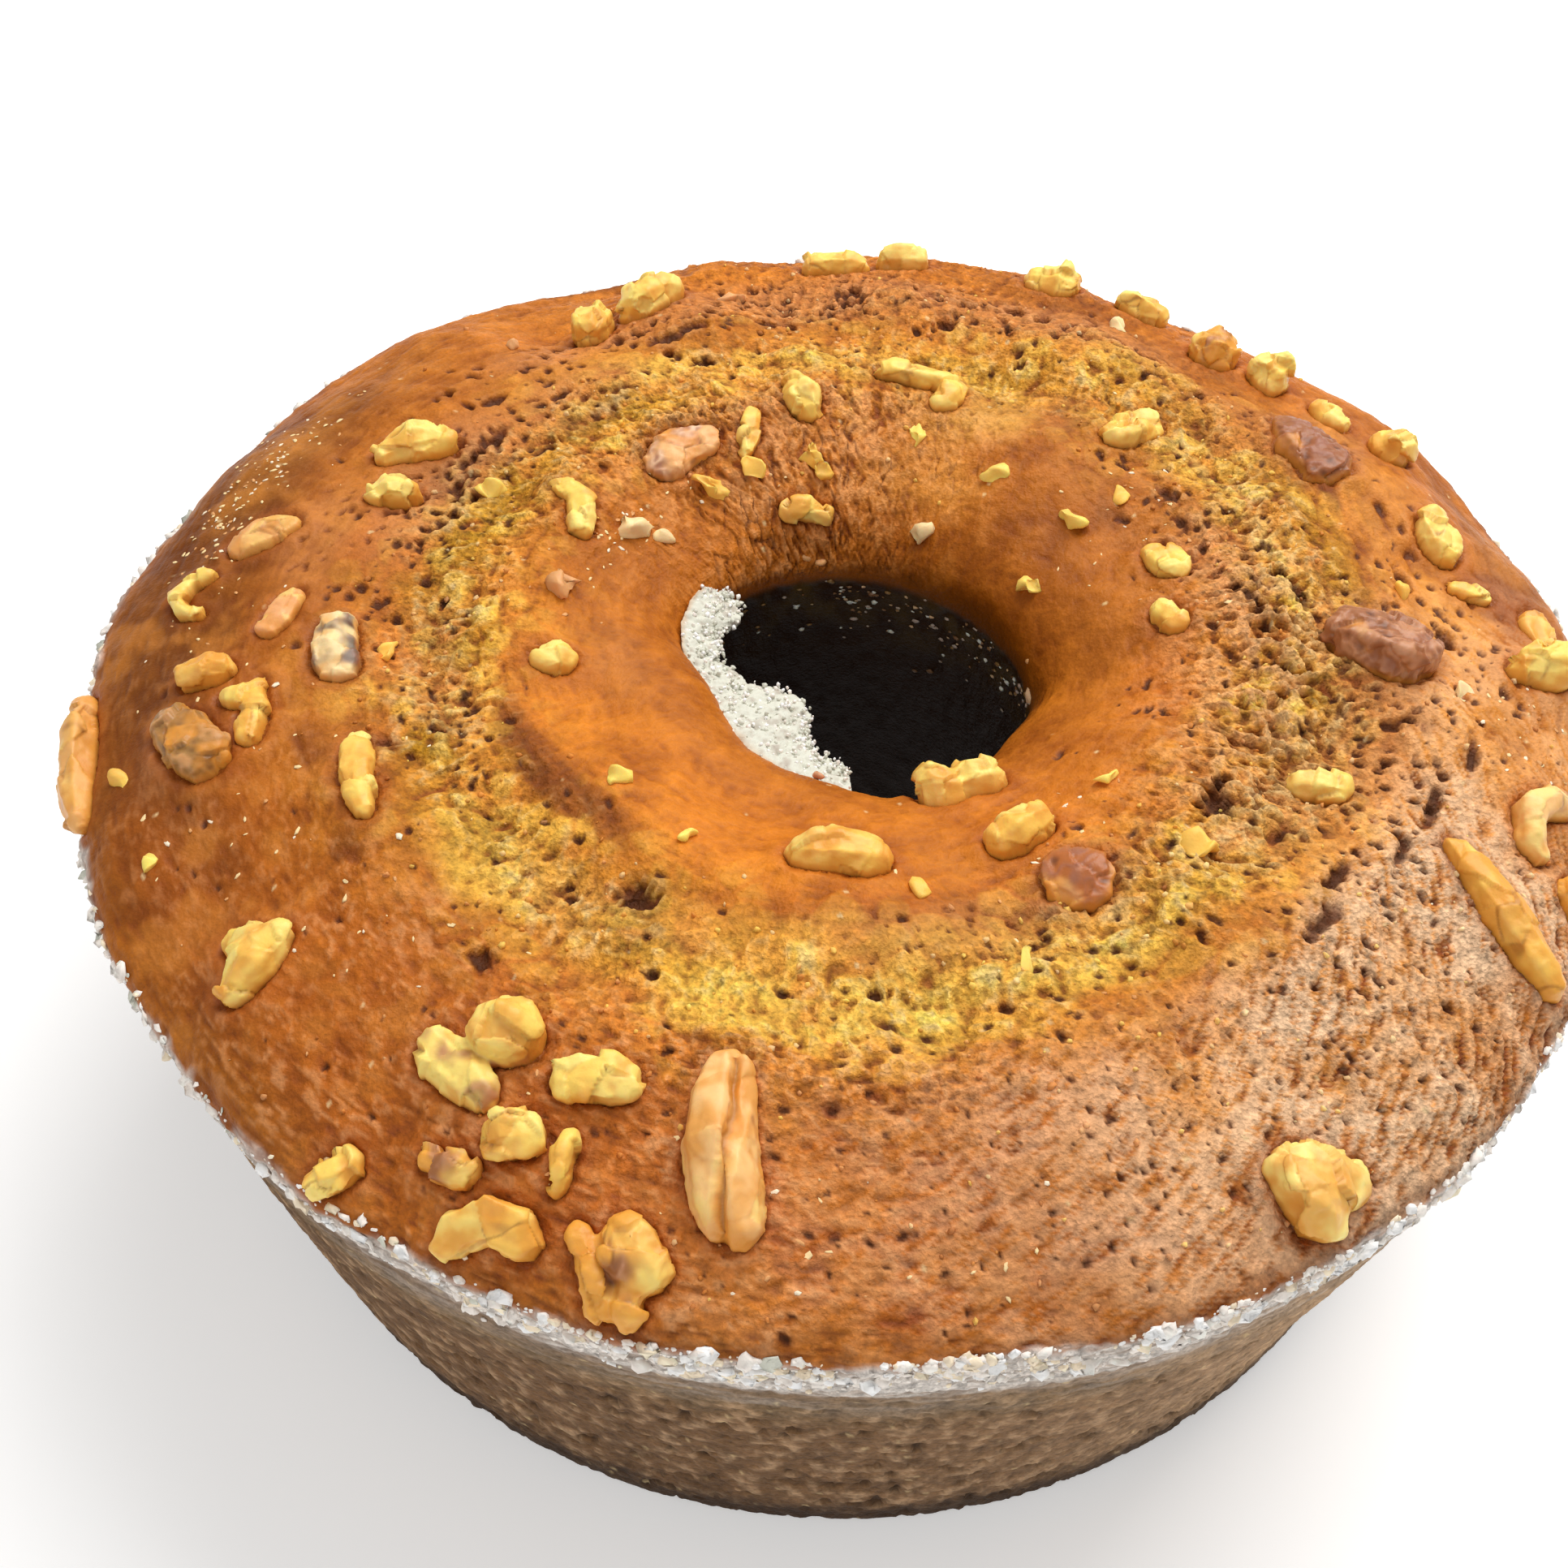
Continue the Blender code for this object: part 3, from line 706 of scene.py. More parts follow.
class Sheet:
    """A grid on the ring's surface: rows along the outline, columns round the axis."""

    def __init__(self, ring: Ring, travel: Array, columns: int) -> None:
        """Works out the grid's places.

        Args:
            ring: the ring that it lies on.
            travel: each row's travel.
            columns: how many columns go round.
        """
        self.ring, self.travel, self.columns = ring, travel, columns
        self.turn = 2 * pi / columns
        self.radius, _, self.across, self.up = ring.on_outline(travel)
        self.travels, self.bearings = np.meshgrid(travel, np.arange(columns) * self.turn, indexing="ij")
        self.reach = np.repeat(self.radius[:, None], columns, axis=1).astype(np.float32)
        self.points = ring.surface(self.travels, self.bearings, 0).astype(np.float32)
        self.shape = self.reach.shape

    def unrolled(self, lean: float = 0) -> Array:
        """The grid's places on the cylinder, with the bearing shifted along the travel by lean."""
        shifted = self.bearings + lean * (self.travels - self.travel[0]) / CYLINDER
        return np.stack([CYLINDER * np.cos(shifted), CYLINDER * np.sin(shifted), self.travels], axis=-1)

    def ribbon(self, along: float, across: float, seed: int, lean: float = 0) -> Array:
        """Noise drawn out into streaks.

        Args:
            along: the streaks' size round the ring.
            across: their size along the outline.
            seed: picks them.
            lean: how far they lean from the outline's way.

        Returns:
            The noise at each point.
        """
        return fractal(self.unrolled(lean), (along, along, across), seed, 2)

    def window(self, bearing: float, travel: float, half: float) -> tuple:
        """The rows and columns within half of a place, and how far round and out each point is from it.

        Args:
            bearing: the place's bearing in radians.
            travel: its travel.
            half: half the window's size.

        Returns:
            A slice of rows, an array of columns, the ways round, and the ways out.
        """
        rows = slice(*np.searchsorted(self.travel, (travel - half, travel + half)))
        radius = np.interp(travel, self.travel, self.radius)
        count = min(int(half / (radius * self.turn)) + 1, self.columns // 2 - 1)
        steps = np.arange(-count, count + 1) + round(bearing / self.turn)
        side = (steps * self.turn - bearing)[None, :] * self.radius[rows][:, None]
        out = (self.travel[rows] - travel)[:, None] + 0 * side
        return rows, steps % self.columns, side, out

    def patch(self, patch: Patch, warp: Array) -> Array:
        """A patch's share at each point: its amount inside, and a ragged fall to 0 outside.

        Args:
            patch: the patch.
            warp: how far the patch's edge is shifted at each point, round the ring and along the outline.

        Returns:
            The shares.
        """
        half_width = radians(patch.turn) * patch.reach
        side = (turned(patch.bearing, self.bearings) * self.reach + warp[0]) / half_width
        out = (self.travels - self.ring.travel_at(patch.reach) + warp[1]) / patch.depth
        return patch.amount * ease(1.35, 0.5, np.hypot(side, out))

    def placed(self, out: Array) -> Array:
        """The grid's points, raised by out along the outline's normal."""
        around = np.stack([np.cos(self.bearings), np.sin(self.bearings)], axis=-1)
        upward = np.broadcast_to(self.up[:, None, None], (*self.shape, 1))
        normal = np.concatenate([around * self.across[:, None, None], upward], axis=-1)
        return self.points + out[..., None] * normal

    def sample(self, values: Array, bearing: Array, travel: Array) -> Array:
        """Values between the grid's points, by the share of the way to the next row and column.

        Args:
            values: a value or a colour for each point of the grid.
            bearing: where to read, in radians.
            travel: where to read along the outline.

        Returns:
            The values there.
        """
        rows = len(self.travel)
        row = np.clip(np.interp(travel, self.travel, np.arange(rows)), 0, rows - 1.001)
        column = np.mod(bearing, 2 * pi) / self.turn
        first_row, first_column = row.astype(int), column.astype(int)
        down, along = row - first_row, column - first_column
        next_column = (first_column + 1) % self.columns
        first_column %= self.columns
        if values.ndim == 3:
            down, along = down[:, None], along[:, None]
        top = values[first_row, first_column] * (1 - along) + values[first_row, next_column] * along
        low = values[first_row + 1, first_column] * (1 - along) + values[first_row + 1, next_column] * along
        return top * (1 - down) + low * down

    def shell(self, rows: slice, points: Array, paints: tuple, thickness: float) -> Shape:
        """A closed shell of some rows: the surface, a wall down from each border, and a plain underside.

        Args:
            rows: the rows that it takes.
            points: the surface everywhere.
            paints: its colours, its roughness and how crumbly it is, everywhere.
            thickness: how far below the surface its underside lies.

        Returns:
            The shell.
        """
        top = points[rows]
        under = self.placed(np.full(self.shape, -thickness, np.float32))[rows][[-1, 0]]
        whole = np.concatenate([top, under])
        border = np.zeros(whole.shape[:2], np.int32)
        border[0], border[len(top) - 1] = 1, 2
        hues, rough, crumb = (np.concatenate([values[rows], values[rows][[-1, 0]]]) for values in paints)
        faces = closed_faces(len(whole), self.columns)
        return Shape(
            whole.reshape(-1, 3), faces, hues.reshape(-1, 3), rough.ravel(), crumb.ravel(), border.ravel()
        )


# The walnut pieces


@dataclass(frozen=True)
class NutLook:
    """How one piece looks: its flesh, the shares that are browned and in skin, how broken it is, the
    skin's tone and its sheen, partly a painted highlight on raised wrinkles, and the depth of the furrow
    along it."""

    flesh: Tone = Tone.FLESH
    browned: float = 0.3
    skin: float = 0.05
    rugged: float = 0.75
    hide: Tone = Tone.SKIN
    sheen: Tone = Tone.SKIN_PALE
    furrow: float = 0


SLOT_LOOKS = {
    "walnut_flesh": NutLook(),
    "walnut_toasted": NutLook(Tone.FLESH_DEEP, 0.7, 0.3),
    "walnut_skin": NutLook(Tone.SKIN_PALE, 0.5, 0.8),
}
NUT_LOOKS = {
    "walnut_front_1": NutLook(Tone.FLESH_PINK, 0.35, 0.02, 0.12, furrow=1.1),
    "walnut_front_2": NutLook(Tone.FLESH_PALE, 0.5, 0, 1),
    "walnut_front_left_2": NutLook(Tone.FLESH, 0.45, 0.25),
    "walnut_front_left_7": NutLook(Tone.FLESH_DEEP, 0.4, 0.05, 0.35),
    "walnut_front_left_9": NutLook(Tone.FLESH_DEEP, 0.6, 0.3),
    "walnut_hole_1": NutLook(Tone.FLESH_DEEP, 0.35, 0.03, 0.5),
    "walnut_hole_3": NutLook(Tone.FLESH_DEEP, 0.3, 0.02, 0.5),
    "walnut_hole_4": NutLook(Tone.ROSY, 0.5, 0.5, 0.6, Tone.RED_BROWN, Tone.MAUVE),
    "walnut_left_edge_2": NutLook(Tone.PINK_TAN, 0.1, 0, 0.3),
    "walnut_left_edge_3": NutLook(Tone.FLESH_DEEP, 0.5, 0, 0.5),
    "walnut_left_edge_5": NutLook(Tone.SKIN_OLIVE, 0.4, 0.6, 0.7, Tone.SKIN_OLIVE, Tone.TAN),
    "walnut_left_edge_6": NutLook(Tone.TAN, 0.2, 0.1, 0.5, Tone.SKIN_OLIVE, Tone.CREAM),
    "walnut_left_edge_7": NutLook(Tone.CREAM, 0.9, 0.1, 0.6, Tone.CARAMEL, Tone.GOLDEN),
    "walnut_left_crest_5": NutLook(Tone.CREAM, 0.3, 0.45, 0.5, Tone.SKIN_SLATE, Tone.MAUVE),
    "walnut_inner_back_1": NutLook(Tone.PINK_TAN, 0.2, 0.5, 0.5, Tone.MAUVE, Tone.ROSE_HIGHLIGHT),
    "walnut_back_crest_4": NutLook(Tone.ROSY, 0.3, 0.85, 0.8, Tone.SKIN, Tone.MAUVE),
    "walnut_right_edge_5": NutLook(Tone.FLESH_PINK, 0.3, 0.05, 0.4),
    "walnut_right_edge_6": NutLook(Tone.FLESH_DEEP, 0.55, 0.02, 0.4),
    "walnut_right_crest_3": NutLook(Tone.SKIN_PALE, 0.3, 0.9, 0.9, Tone.SKIN, Tone.SKIN_PALE),
}


class Nut:
    """One walnut piece: its solid with rounded facets, folds and pits, and hollows darkened as painted
    shade.
    """

    def __init__(self, name: str, slot: str, seed: int) -> None:
        """Notes the piece.

        Args:
            name: its node's name.
            slot: its material slot.
            seed: picks its folds.
        """
        self.name, self.slot, self.seed = name, slot, seed
        self.look = NUT_LOOKS.get(name, SLOT_LOOKS[slot])

    def refine(self, source: bpy.types.Object, voxel: float) -> bpy.types.Object:
        """A merged, evenly meshed and smoothed copy of the solid, still to be read by the graph."""
        copy = bpy.data.objects.new(self.name + "_fine", source.data.copy())
        copy.matrix_world = source.matrix_world.copy()
        bpy.context.scene.collection.objects.link(copy)
        weld = copy.modifiers.new("weld", "WELD")
        weld.merge_threshold = 0.01 * MM
        mesh = copy.modifiers.new("even", "REMESH")
        mesh.mode, mesh.voxel_size = "VOXEL", voxel * MM
        smooth = copy.modifiers.new("round", "SMOOTH")
        smooth.factor, smooth.iterations = 0.5, 5
        return copy

    def read(self, copy: bpy.types.Object, graph: bpy.types.Depsgraph) -> None:
        """Reads the fine copy's points, normals and faces, and removes it."""
        fine = copy.evaluated_get(graph)
        mesh = fine.to_mesh()
        count = len(mesh.vertices)
        points, normals = np.empty(count * 3, np.float32), np.empty(count * 3, np.float32)
        mesh.vertices.foreach_get("co", points)
        mesh.vertex_normals.foreach_get("vector", normals)
        corners = np.empty(len(mesh.loops), np.int32)
        mesh.loops.foreach_get("vertex_index", corners)
        turn = np.array(copy.matrix_world, np.float32)
        self.points = (points.reshape(-1, 3) @ turn[:3, :3].T + turn[:3, 3]) / MM
        self.normals = normals.reshape(-1, 3) @ turn[:3, :3].T
        self.faces = corners.reshape(-1, 4)
        fine.to_mesh_clear()
        data = copy.data
        bpy.data.objects.remove(copy)
        bpy.data.meshes.remove(data)

    def carve(self, ring: Ring) -> None:
        """Gives the piece its lobes, creases and breaks, and presses its underside into the crust."""
        bearing, travel, up = ring.locate(self.points)
        self.height = np.einsum("ij,ij->i", self.points - ring.surface(travel, bearing, 0), up)
        rng = np.random.default_rng(self.seed)
        places = self.points + rng.uniform(0, 400, 3)
        span = float(np.ptp(self.points, axis=0).max())
        swayed = places + 0.8 * noise(places, 5, 42)[:, None]
        self.planes = cells(swayed, float(np.clip(span * 0.42, 4, 8)), 41)
        broken = cells(swayed, 2.4, 43)
        self.crease = ease(0.07, 0.01, self.planes.seam) * ease(0.15, 0.5, noise(places, 6, 44))
        self.mottle = fractal(places, 4, 45, 3)
        tilt = self._tilts(self.planes) * 1.4 + 0.4 * self._tilts(broken) * ease(-0.1, 0.4, self.mottle)
        out = self.look.rugged * (tilt - 0.25 * self.crease) + 0.45 * self.mottle
        self.wrinkles = ridges(fractal(places, 3.2, 48, 2))
        out += (0.05 + 0.2 * self.look.skin) * self.wrinkles * (self.look.skin > 0.2)
        self.facing = np.einsum("ij,ij->i", self.normals, up)
        self.groove = self._groove(up) if self.look.furrow else np.zeros(len(self.points), np.float32)
        out += self.look.furrow * (0.45 - self.groove - 0.45 * ease(0, 0.2, self.groove))
        self.crease *= self.look.furrow == 0
        buried = ease(1.3, 0.2, self.height)[:, None]
        shift = self.normals * (out * ease(-0.2, 1.4, self.height))[:, None]
        self.carved = self.points + shift - up * buried * 1.7

    def _groove(self, up: Array) -> Array:
        """1 along a bent line from end to end, a little off the piece's middle, falling to 0 beside it.

        The piece's long axis is its points' direction of greatest spread.
        """
        spread = self.points - self.points.mean(axis=0)
        long = np.linalg.eigh(spread.T @ spread)[1][:, -1]
        side = np.cross(long, up.mean(axis=0))
        along, across = spread @ long, spread @ (side / np.linalg.norm(side))
        half, width = np.abs(along).max(), np.abs(across).max()
        line = width * (0.12 + 0.3 * np.sin(2.2 * along / half) + 0.12 * self.mottle)
        return (bell(across - line, 0.13 * width) * ease(0.97, 0.8, np.abs(along) / half)).astype(np.float32)

    @staticmethod
    def _tilts(planes: Cells) -> Array:
        """Flat breaks: in each cell a plane through its seed point, which leans its own way."""
        turn = planes.value * 60
        leans = np.stack([np.cos(turn), np.sin(turn), np.cos(1.7 * turn)], axis=-1)
        return np.clip(np.einsum("ij,ij->i", planes.offset, leans), -0.55, 0.55)

    def dress(self) -> Shape:
        """The piece's mesh, with flesh, browned patches and skin, painted shade on its downward sides, in
        its furrow and creases and at its dark foot where it meets the crust, which is partly glaze, and a
        sheen on the skin's wrinkles that is partly a painted highlight.
        """
        rng = np.random.default_rng(self.seed + 9)
        places = self.points + rng.uniform(0, 400, 3)
        patchy = 0.5 + 0.6 * fractal(places, 6, 46, 3)
        skin_patches = 0.5 + 0.6 * fractal(places, 7, 47, 3)
        value, look = self.planes.value, self.look
        pale = 0.6 if look.skin < 0.4 else 0.15
        browned = ease(0.85 - 0.8 * look.browned, 1.15 - 0.8 * look.browned, patchy + 0.25 * (1 - value))
        skinned = ease(0.85 - 0.7 * look.skin, 1.05 - 0.7 * look.skin, skin_patches + 0.15 * value)
        folds = 0.6 * self.wrinkles + 0.8 * self.mottle
        colours = paint_all(
            flat(look.flesh, (len(self.points),)),
            (Tone.FLESH_PALE, pale * ease(0.3, 0.8, value + 0.5 * self.mottle)),
            (Tone.FLESH_BROWN_AND_SHADE, 0.7 * browned),
            (Tone.FLESH_BROWN_AND_SHADE, 0.5 * ease(0.05, -0.4, self.mottle)),
            # Sides that face away from the sky are darkened as painted shade
            (Tone.FLESH_BROWN_AND_SHADE, 0.5 * ease(0.55, -0.2, self.facing)),
            (look.hide, 0.85 * skinned),
            # The skin's raised wrinkles take the sheen, partly its paler veins and partly a painted
            # highlight, and its hollows take SKIN_DARK as painted shade
            (look.sheen, 0.7 * skinned * ease(0.1, 0.7, folds)),
            (Tone.SKIN_DARK, 0.7 * skinned * ease(0, -0.7, folds)),
            # The furrow and the creases between facets are darkened as painted shade
            (Tone.FLESH_BROWN_AND_SHADE, 0.6 * ease(0.02, 0.5, self.groove)),
            (Tone.GLAZE_AND_SHADE, 0.45 * np.maximum(self.crease, ease(0.5, 1, self.groove))),
            # The foot, where the piece meets the crust, is darkened partly as glaze and partly as painted
            # shade
            (Tone.FLESH_BROWN_AND_SHADE, 0.75 * ease(2, 0.5, self.height)),
            (Tone.GLAZE_AND_SHADE, 0.85 * ease(1, 0, self.height)),
        )
        rough = 0.42 - 0.06 * skinned + 0.12 * self.mottle
        return Shape(self.carved, self.faces, colours, rough)


def refine_nuts(frame: dict, ring: Ring) -> list:
    """All the walnut pieces, read from their solids.

    Args:
        ring: the ring that they lie on.

    Returns:
        The pieces, carved and ready to dress.
    """
    rows = [row for row in frame["record"]["subparts"] if row["node"].startswith("walnut_")]
    nuts = [Nut(row["node"], row["material_slot"], 500 + place) for place, row in enumerate(rows)]
    voxel = 0.33
    copies = [nut.refine(frame["nodes"][nut.name], voxel) for nut in nuts]
    graph = bpy.context.evaluated_depsgraph_get()
    for nut, copy in zip(nuts, copies):
        nut.read(copy, graph)
        nut.carve(ring)
    return nuts


# The cake itself


# Wide changes of the crust's colour, in the order of painting
BROAD_COATS = [
    *coats(Tone.TAN, (22, 100, 20, 9, 0.35), (352, 101, 18, 10, 0.5)),
    *coats(Tone.ORANGE, (100, 98, 34, 13, 0.75), (30, 84, 26, 8, 0.5), (255, 50, 75, 13, 0.75)),
    *coats(Tone.ORANGE, (330, 52, 40, 12, 0.4), (150, 76, 26, 10, 0.7), (262, 72, 50, 6, 0.7)),
    *coats(Tone.ORANGE, (340, 66, 20, 7, 0.8)),
    *coats(Tone.BROWN, (180, 100, 36, 22, 0.75), (225, 104, 24, 20, 0.6), (70, 107, 12, 9, 0.55)),
    *coats(Tone.BROWN, (45, 98, 14, 7, 0.55), (45, 52, 20, 10, 0.5), (15, 118, 26, 6, 0.5)),
    *coats(Tone.BROWN, (205, 92, 22, 12, 0.4)),
    *coats(Tone.CHOCOLATE, (172, 114, 32, 11, 0.7), (195, 116, 30, 11, 0.7), (226, 120, 20, 6, 0.5)),
    *coats(Tone.RED_BROWN, (248, 112, 22, 14, 0.5), (278, 112, 20, 14, 0.5), (275, 95, 30, 9, 0.35)),
    *coats(Tone.RED_BROWN, (214, 108, 20, 14, 0.4), (232, 92, 14, 10, 0.4)),
    *coats(Tone.PINK_TAN, (312, 106, 20, 17, 0.75), (338, 100, 18, 12, 0.6), (328, 90, 14, 8, 0.5)),
    *coats(Tone.ROSY, (100, 48, 32, 13, 0.65), (140, 57, 14, 7, 0.6), (15, 66, 16, 7, 0.7)),
    *coats(Tone.ROSY, (190, 80, 14, 7, 0.5)),
    *coats(Tone.RED_BROWN, (288, 63, 26, 6, 0.8), (200, 58, 22, 5, 0.3)),
    *coats(Tone.TAN, (345, 62, 12, 6, 0.6), (130, 84, 14, 6, 0.4)),
    *coats(Tone.CARAMEL, (170, 48, 40, 12, 0.6), (30, 46, 32, 8, 0.6)),
    *coats(Tone.BROWN, (165, 106, 22, 10, 0.5), (45, 96, 18, 8, 0.6), (15, 88, 13, 6, 0.4)),
    *coats(Tone.BROWN, (225, 61, 18, 5, 0.6), (60, 62, 26, 5, 0.35), (138, 98, 12, 8, 0.35)),
    *coats(Tone.BROWN, (225, 51, 14, 7, 0.4), (285, 50, 15, 8, 0.4), (25, 46, 34, 12, 0.5)),
    *coats(Tone.BROWN, (285, 62, 13, 4, 0.5)),
    *coats(Tone.CHOCOLATE, (180, 107, 32, 9, 0.55), (15, 119, 14, 5, 0.5), (165, 119, 16, 6, 0.4)),
    *coats(Tone.PINK_TAN, (345, 116, 15, 9, 0.6), (285, 72, 48, 4, 0.6), (15, 68, 14, 7, 0.6)),
    *coats(Tone.PINK_TAN, (255, 68, 20, 4, 0.4), (348, 62, 16, 7, 0.6)),
    *coats(Tone.BRIGHT, (270, 79, 26, 6, 0.75), (225, 71, 14, 4, 0.4), (315, 72, 12, 4, 0.4)),
    *coats(Tone.BRIGHT, (135, 71, 10, 4, 0.4), (15, 71, 12, 5, 0.9), (285, 72, 44, 7, 0.6)),
    *coats(Tone.BRIGHT, (232, 71, 14, 4, 0.4), (345, 67, 12, 6, 0.6)),
    *coats(Tone.BROWN, (45, 98, 14, 7, 0.45), (15, 88, 12, 5, 0.35), (105, 70, 12, 4, 0.3)),
    *coats(Tone.CHOCOLATE, (180, 109, 34, 9, 0.5)),
]
# Single spots that the eye picks out, painted over the broad coats and the golden crest
NAMED_COATS = [
    *coats(Tone.BRIGHT, (121, 75, 6, 4, 0.8), (228, 77, 8, 7, 0.7), (278, 79, 8, 7, 0.8)),
    *coats(Tone.BRIGHT, (262, 80, 8, 5, 0.6), (95, 70, 12, 5, 0.45), (40, 74, 10, 4, 0.5)),
    *coats(Tone.BRIGHT, (55, 88, 5, 5, 0.6), (298, 78, 12, 5, 0.55)),
    *coats(Tone.OLIVE, (20, 84, 16, 6, 0.7), (5, 72, 6, 6, 0.6), (50, 86, 11, 6, 0.5)),
    *coats(Tone.OLIVE, (135, 70, 8, 4, 0.75), (149, 72, 4, 3, 0.6), (165, 68, 15, 7, 0.65)),
    *coats(Tone.OLIVE, (188, 64, 6, 7, 0.7), (209, 72, 4, 5, 0.8), (246, 73, 7, 6, 0.6)),
    *coats(Tone.OLIVE, (347, 74, 13, 6, 0.75), (218, 76, 10, 6, 0.3), (310, 75, 8, 5, 0.4)),
    *coats(Tone.DARK_OLIVE, (41, 82, 3, 3, 0.45), (115, 99, 2.5, 3.5, 0.7), (205, 69, 2.5, 2, 0.6)),
    *coats(Tone.DARK_OLIVE, (245, 67, 4, 4, 0.6)),
    # The slate spots darken three of the larger pits as painted shade
    *coats(Tone.SLATE, (326.5, 68, 2.2, 2.4, 0.8), (303, 66, 2, 2, 0.6), (245, 66.5, 2, 2, 0.6)),
    *coats(Tone.MAROON, (26, 92, 2.5, 1.4, 0.9), (156, 78, 6, 5, 0.65), (220, 59, 20, 3.6, 0.7)),
    *coats(Tone.MAROON, (204, 89, 4, 3, 0.5), (206, 78, 2.5, 2, 0.6), (218, 90, 2, 2.5, 0.6)),
    *coats(Tone.MAROON, (237, 88, 2, 2, 0.7), (322, 89, 4, 3, 0.5)),
    *coats(Tone.MAUVE, (34, 102, 6, 10, 0.6), (57, 69, 5, 8, 0.5), (36, 56, 4, 4, 0.4)),
    *coats(Tone.MAUVE, (199, 112, 4, 4, 0.4), (195, 40, 15, 4, 0.4), (298, 65, 3, 2, 0.6)),
    *coats(Tone.MAUVE, (125, 54, 6, 4, 0.35), (3, 87, 8, 8, 0.6)),
    *coats(Tone.SALMON, (18, 66, 11, 6, 0.6), (187, 78, 8, 6, 0.6), (247, 86, 12, 5, 0.5)),
    *coats(Tone.SALMON, (170, 80, 9, 8, 0.5), (350, 52, 10, 6, 0.4), (229, 52, 3, 2.5, 0.7)),
    *coats(Tone.SALMON, (92, 98, 3, 7, 0.4)),
    *coats(Tone.CREAM, (20, 74.5, 11, 1.3, 0.7), (38, 76.5, 8, 1.2, 0.7), (318, 70, 3.5, 2, 0.7)),
    *coats(Tone.CREAM, (72, 64, 11, 12, 0.3), (154, 79, 2, 1.5, 0.6), (287, 76.5, 1.5, 1.5, 0.8)),
    *coats(Tone.CREAM, (292, 73.5, 1.5, 1.3, 0.6), (303, 77, 1.5, 2, 0.6)),
    *coats(Tone.TAN, (75, 45, 14, 8, 0.5), (8, 103, 8, 7, 0.5), (36, 108, 3, 3, 0.5)),
    *coats(Tone.TAN, (160, 110, 12, 6, 0.2)),
    *coats(Tone.BROWN, (9, 42, 16, 4, 0.6), (40, 44, 10, 4, 0.6), (68, 105, 3, 3, 0.5)),
    *coats(Tone.BROWN, (175, 44, 20, 4, 0.4)),
    *coats(Tone.GLAZE_AND_SHADE, (10, 114, 5, 6, 0.8), (303.5, 117.5, 5.5, 8, 0.8)),
]
# The larger pits: bearing, reach, half length round the ring and half width
PIT_ROWS = (
    (9, 75, 5, 1.6), (28, 63.5, 2.2, 1.2), (34.5, 66, 3, 1.4), (8, 66, 2.4, 1.2), (69.5, 96, 1.6, 2.4),
    (73, 98, 1.8, 2.6), (80, 86, 2, 2), (92, 92, 2.2, 1.8), (100.5, 91, 1.8, 1.8), (103.5, 86, 1.8, 1.2),
    (113.5, 85, 3.4, 1.4), (116.5, 84, 3.6, 1.5), (122, 91, 1.6, 1.8), (142, 86, 3, 1.3), (147, 78, 3, 1.2),
    (135, 79, 2.6, 1.2), (114, 74.5, 3, 1.6), (144.5, 69.5, 2.6, 1), (236.5, 88.5, 2.2, 1.6),
    (245, 66.5, 3, 2), (326.5, 68, 3.4, 2.6), (303, 66, 2.4, 2), (206, 78, 1.6, 1.6), (320, 91, 4.5, 1.5),
    (326, 88, 4, 1.4), (333, 94, 4, 1.2), (341, 96, 3.6, 1.2), (347, 100, 3.6, 1.2), (13, 97, 3.2, 1.4),
    (4, 99, 2.6, 1.2), (330, 66, 2.2, 1.2), (238, 71, 1.2, 1.2), (252, 79, 1.2, 1.4), (275, 76, 1.4, 1.6),
    (288, 80, 1.2, 1.4),
)


@dataclass(frozen=True)
class PoreZone:
    """Where pores are thick: a bearing and its spread in degrees, a reach and its depth, how many lie
    in a square millimetre, and the largest ones' half length, half width and depth."""

    bearing: float
    spread: float
    reach: float
    depth: float
    density: float
    long: float
    wide: float
    deep: float


PORE_ZONES = (
    PoreZone(0, 400, 76, 12, 0.014, 0.8, 0.65, 0.5),
    PoreZone(338, 30, 90, 14, 0.024, 0.55, 1, 0.6),
    PoreZone(308, 34, 108, 16, 0.035, 0.36, 0.55, 0.45),
    PoreZone(262, 44, 106, 18, 0.01, 0.8, 0.45, 0.4),
    PoreZone(100, 44, 94, 12, 0.028, 0.7, 1.1, 0.7),
    PoreZone(18, 26, 66, 8, 0.03, 1.1, 0.7, 0.55),
    PoreZone(160, 22, 78, 9, 0.03, 1.1, 0.8, 0.6),
    PoreZone(205, 26, 66, 8, 0.02, 1.2, 0.7, 0.5),
    PoreZone(6, 18, 100, 10, 0.03, 1.2, 0.8, 0.6),
    PoreZone(340, 30, 54, 10, 0.012, 1.1, 0.5, 0.4),
)
# Where the crumb has opened like a sponge: bearing, reach, turn, depth and amount
SPONGY_ROWS = (
    (158, 80, 16, 10, 1), (135, 76, 12, 8, 0.7), (118, 94, 20, 8, 0.9), (95, 95, 22, 10, 1),
    (70, 94, 18, 9, 0.9), (350, 84, 16, 9, 0.8), (15, 66, 16, 6, 0.7), (332, 76, 14, 7, 0.7),
    (195, 68, 14, 6, 0.6), (290, 66, 22, 6, 0.5), (172, 92, 10, 7, 0.5), (40, 90, 12, 8, 0.5),
    (240, 72, 16, 6, 0.4),
)


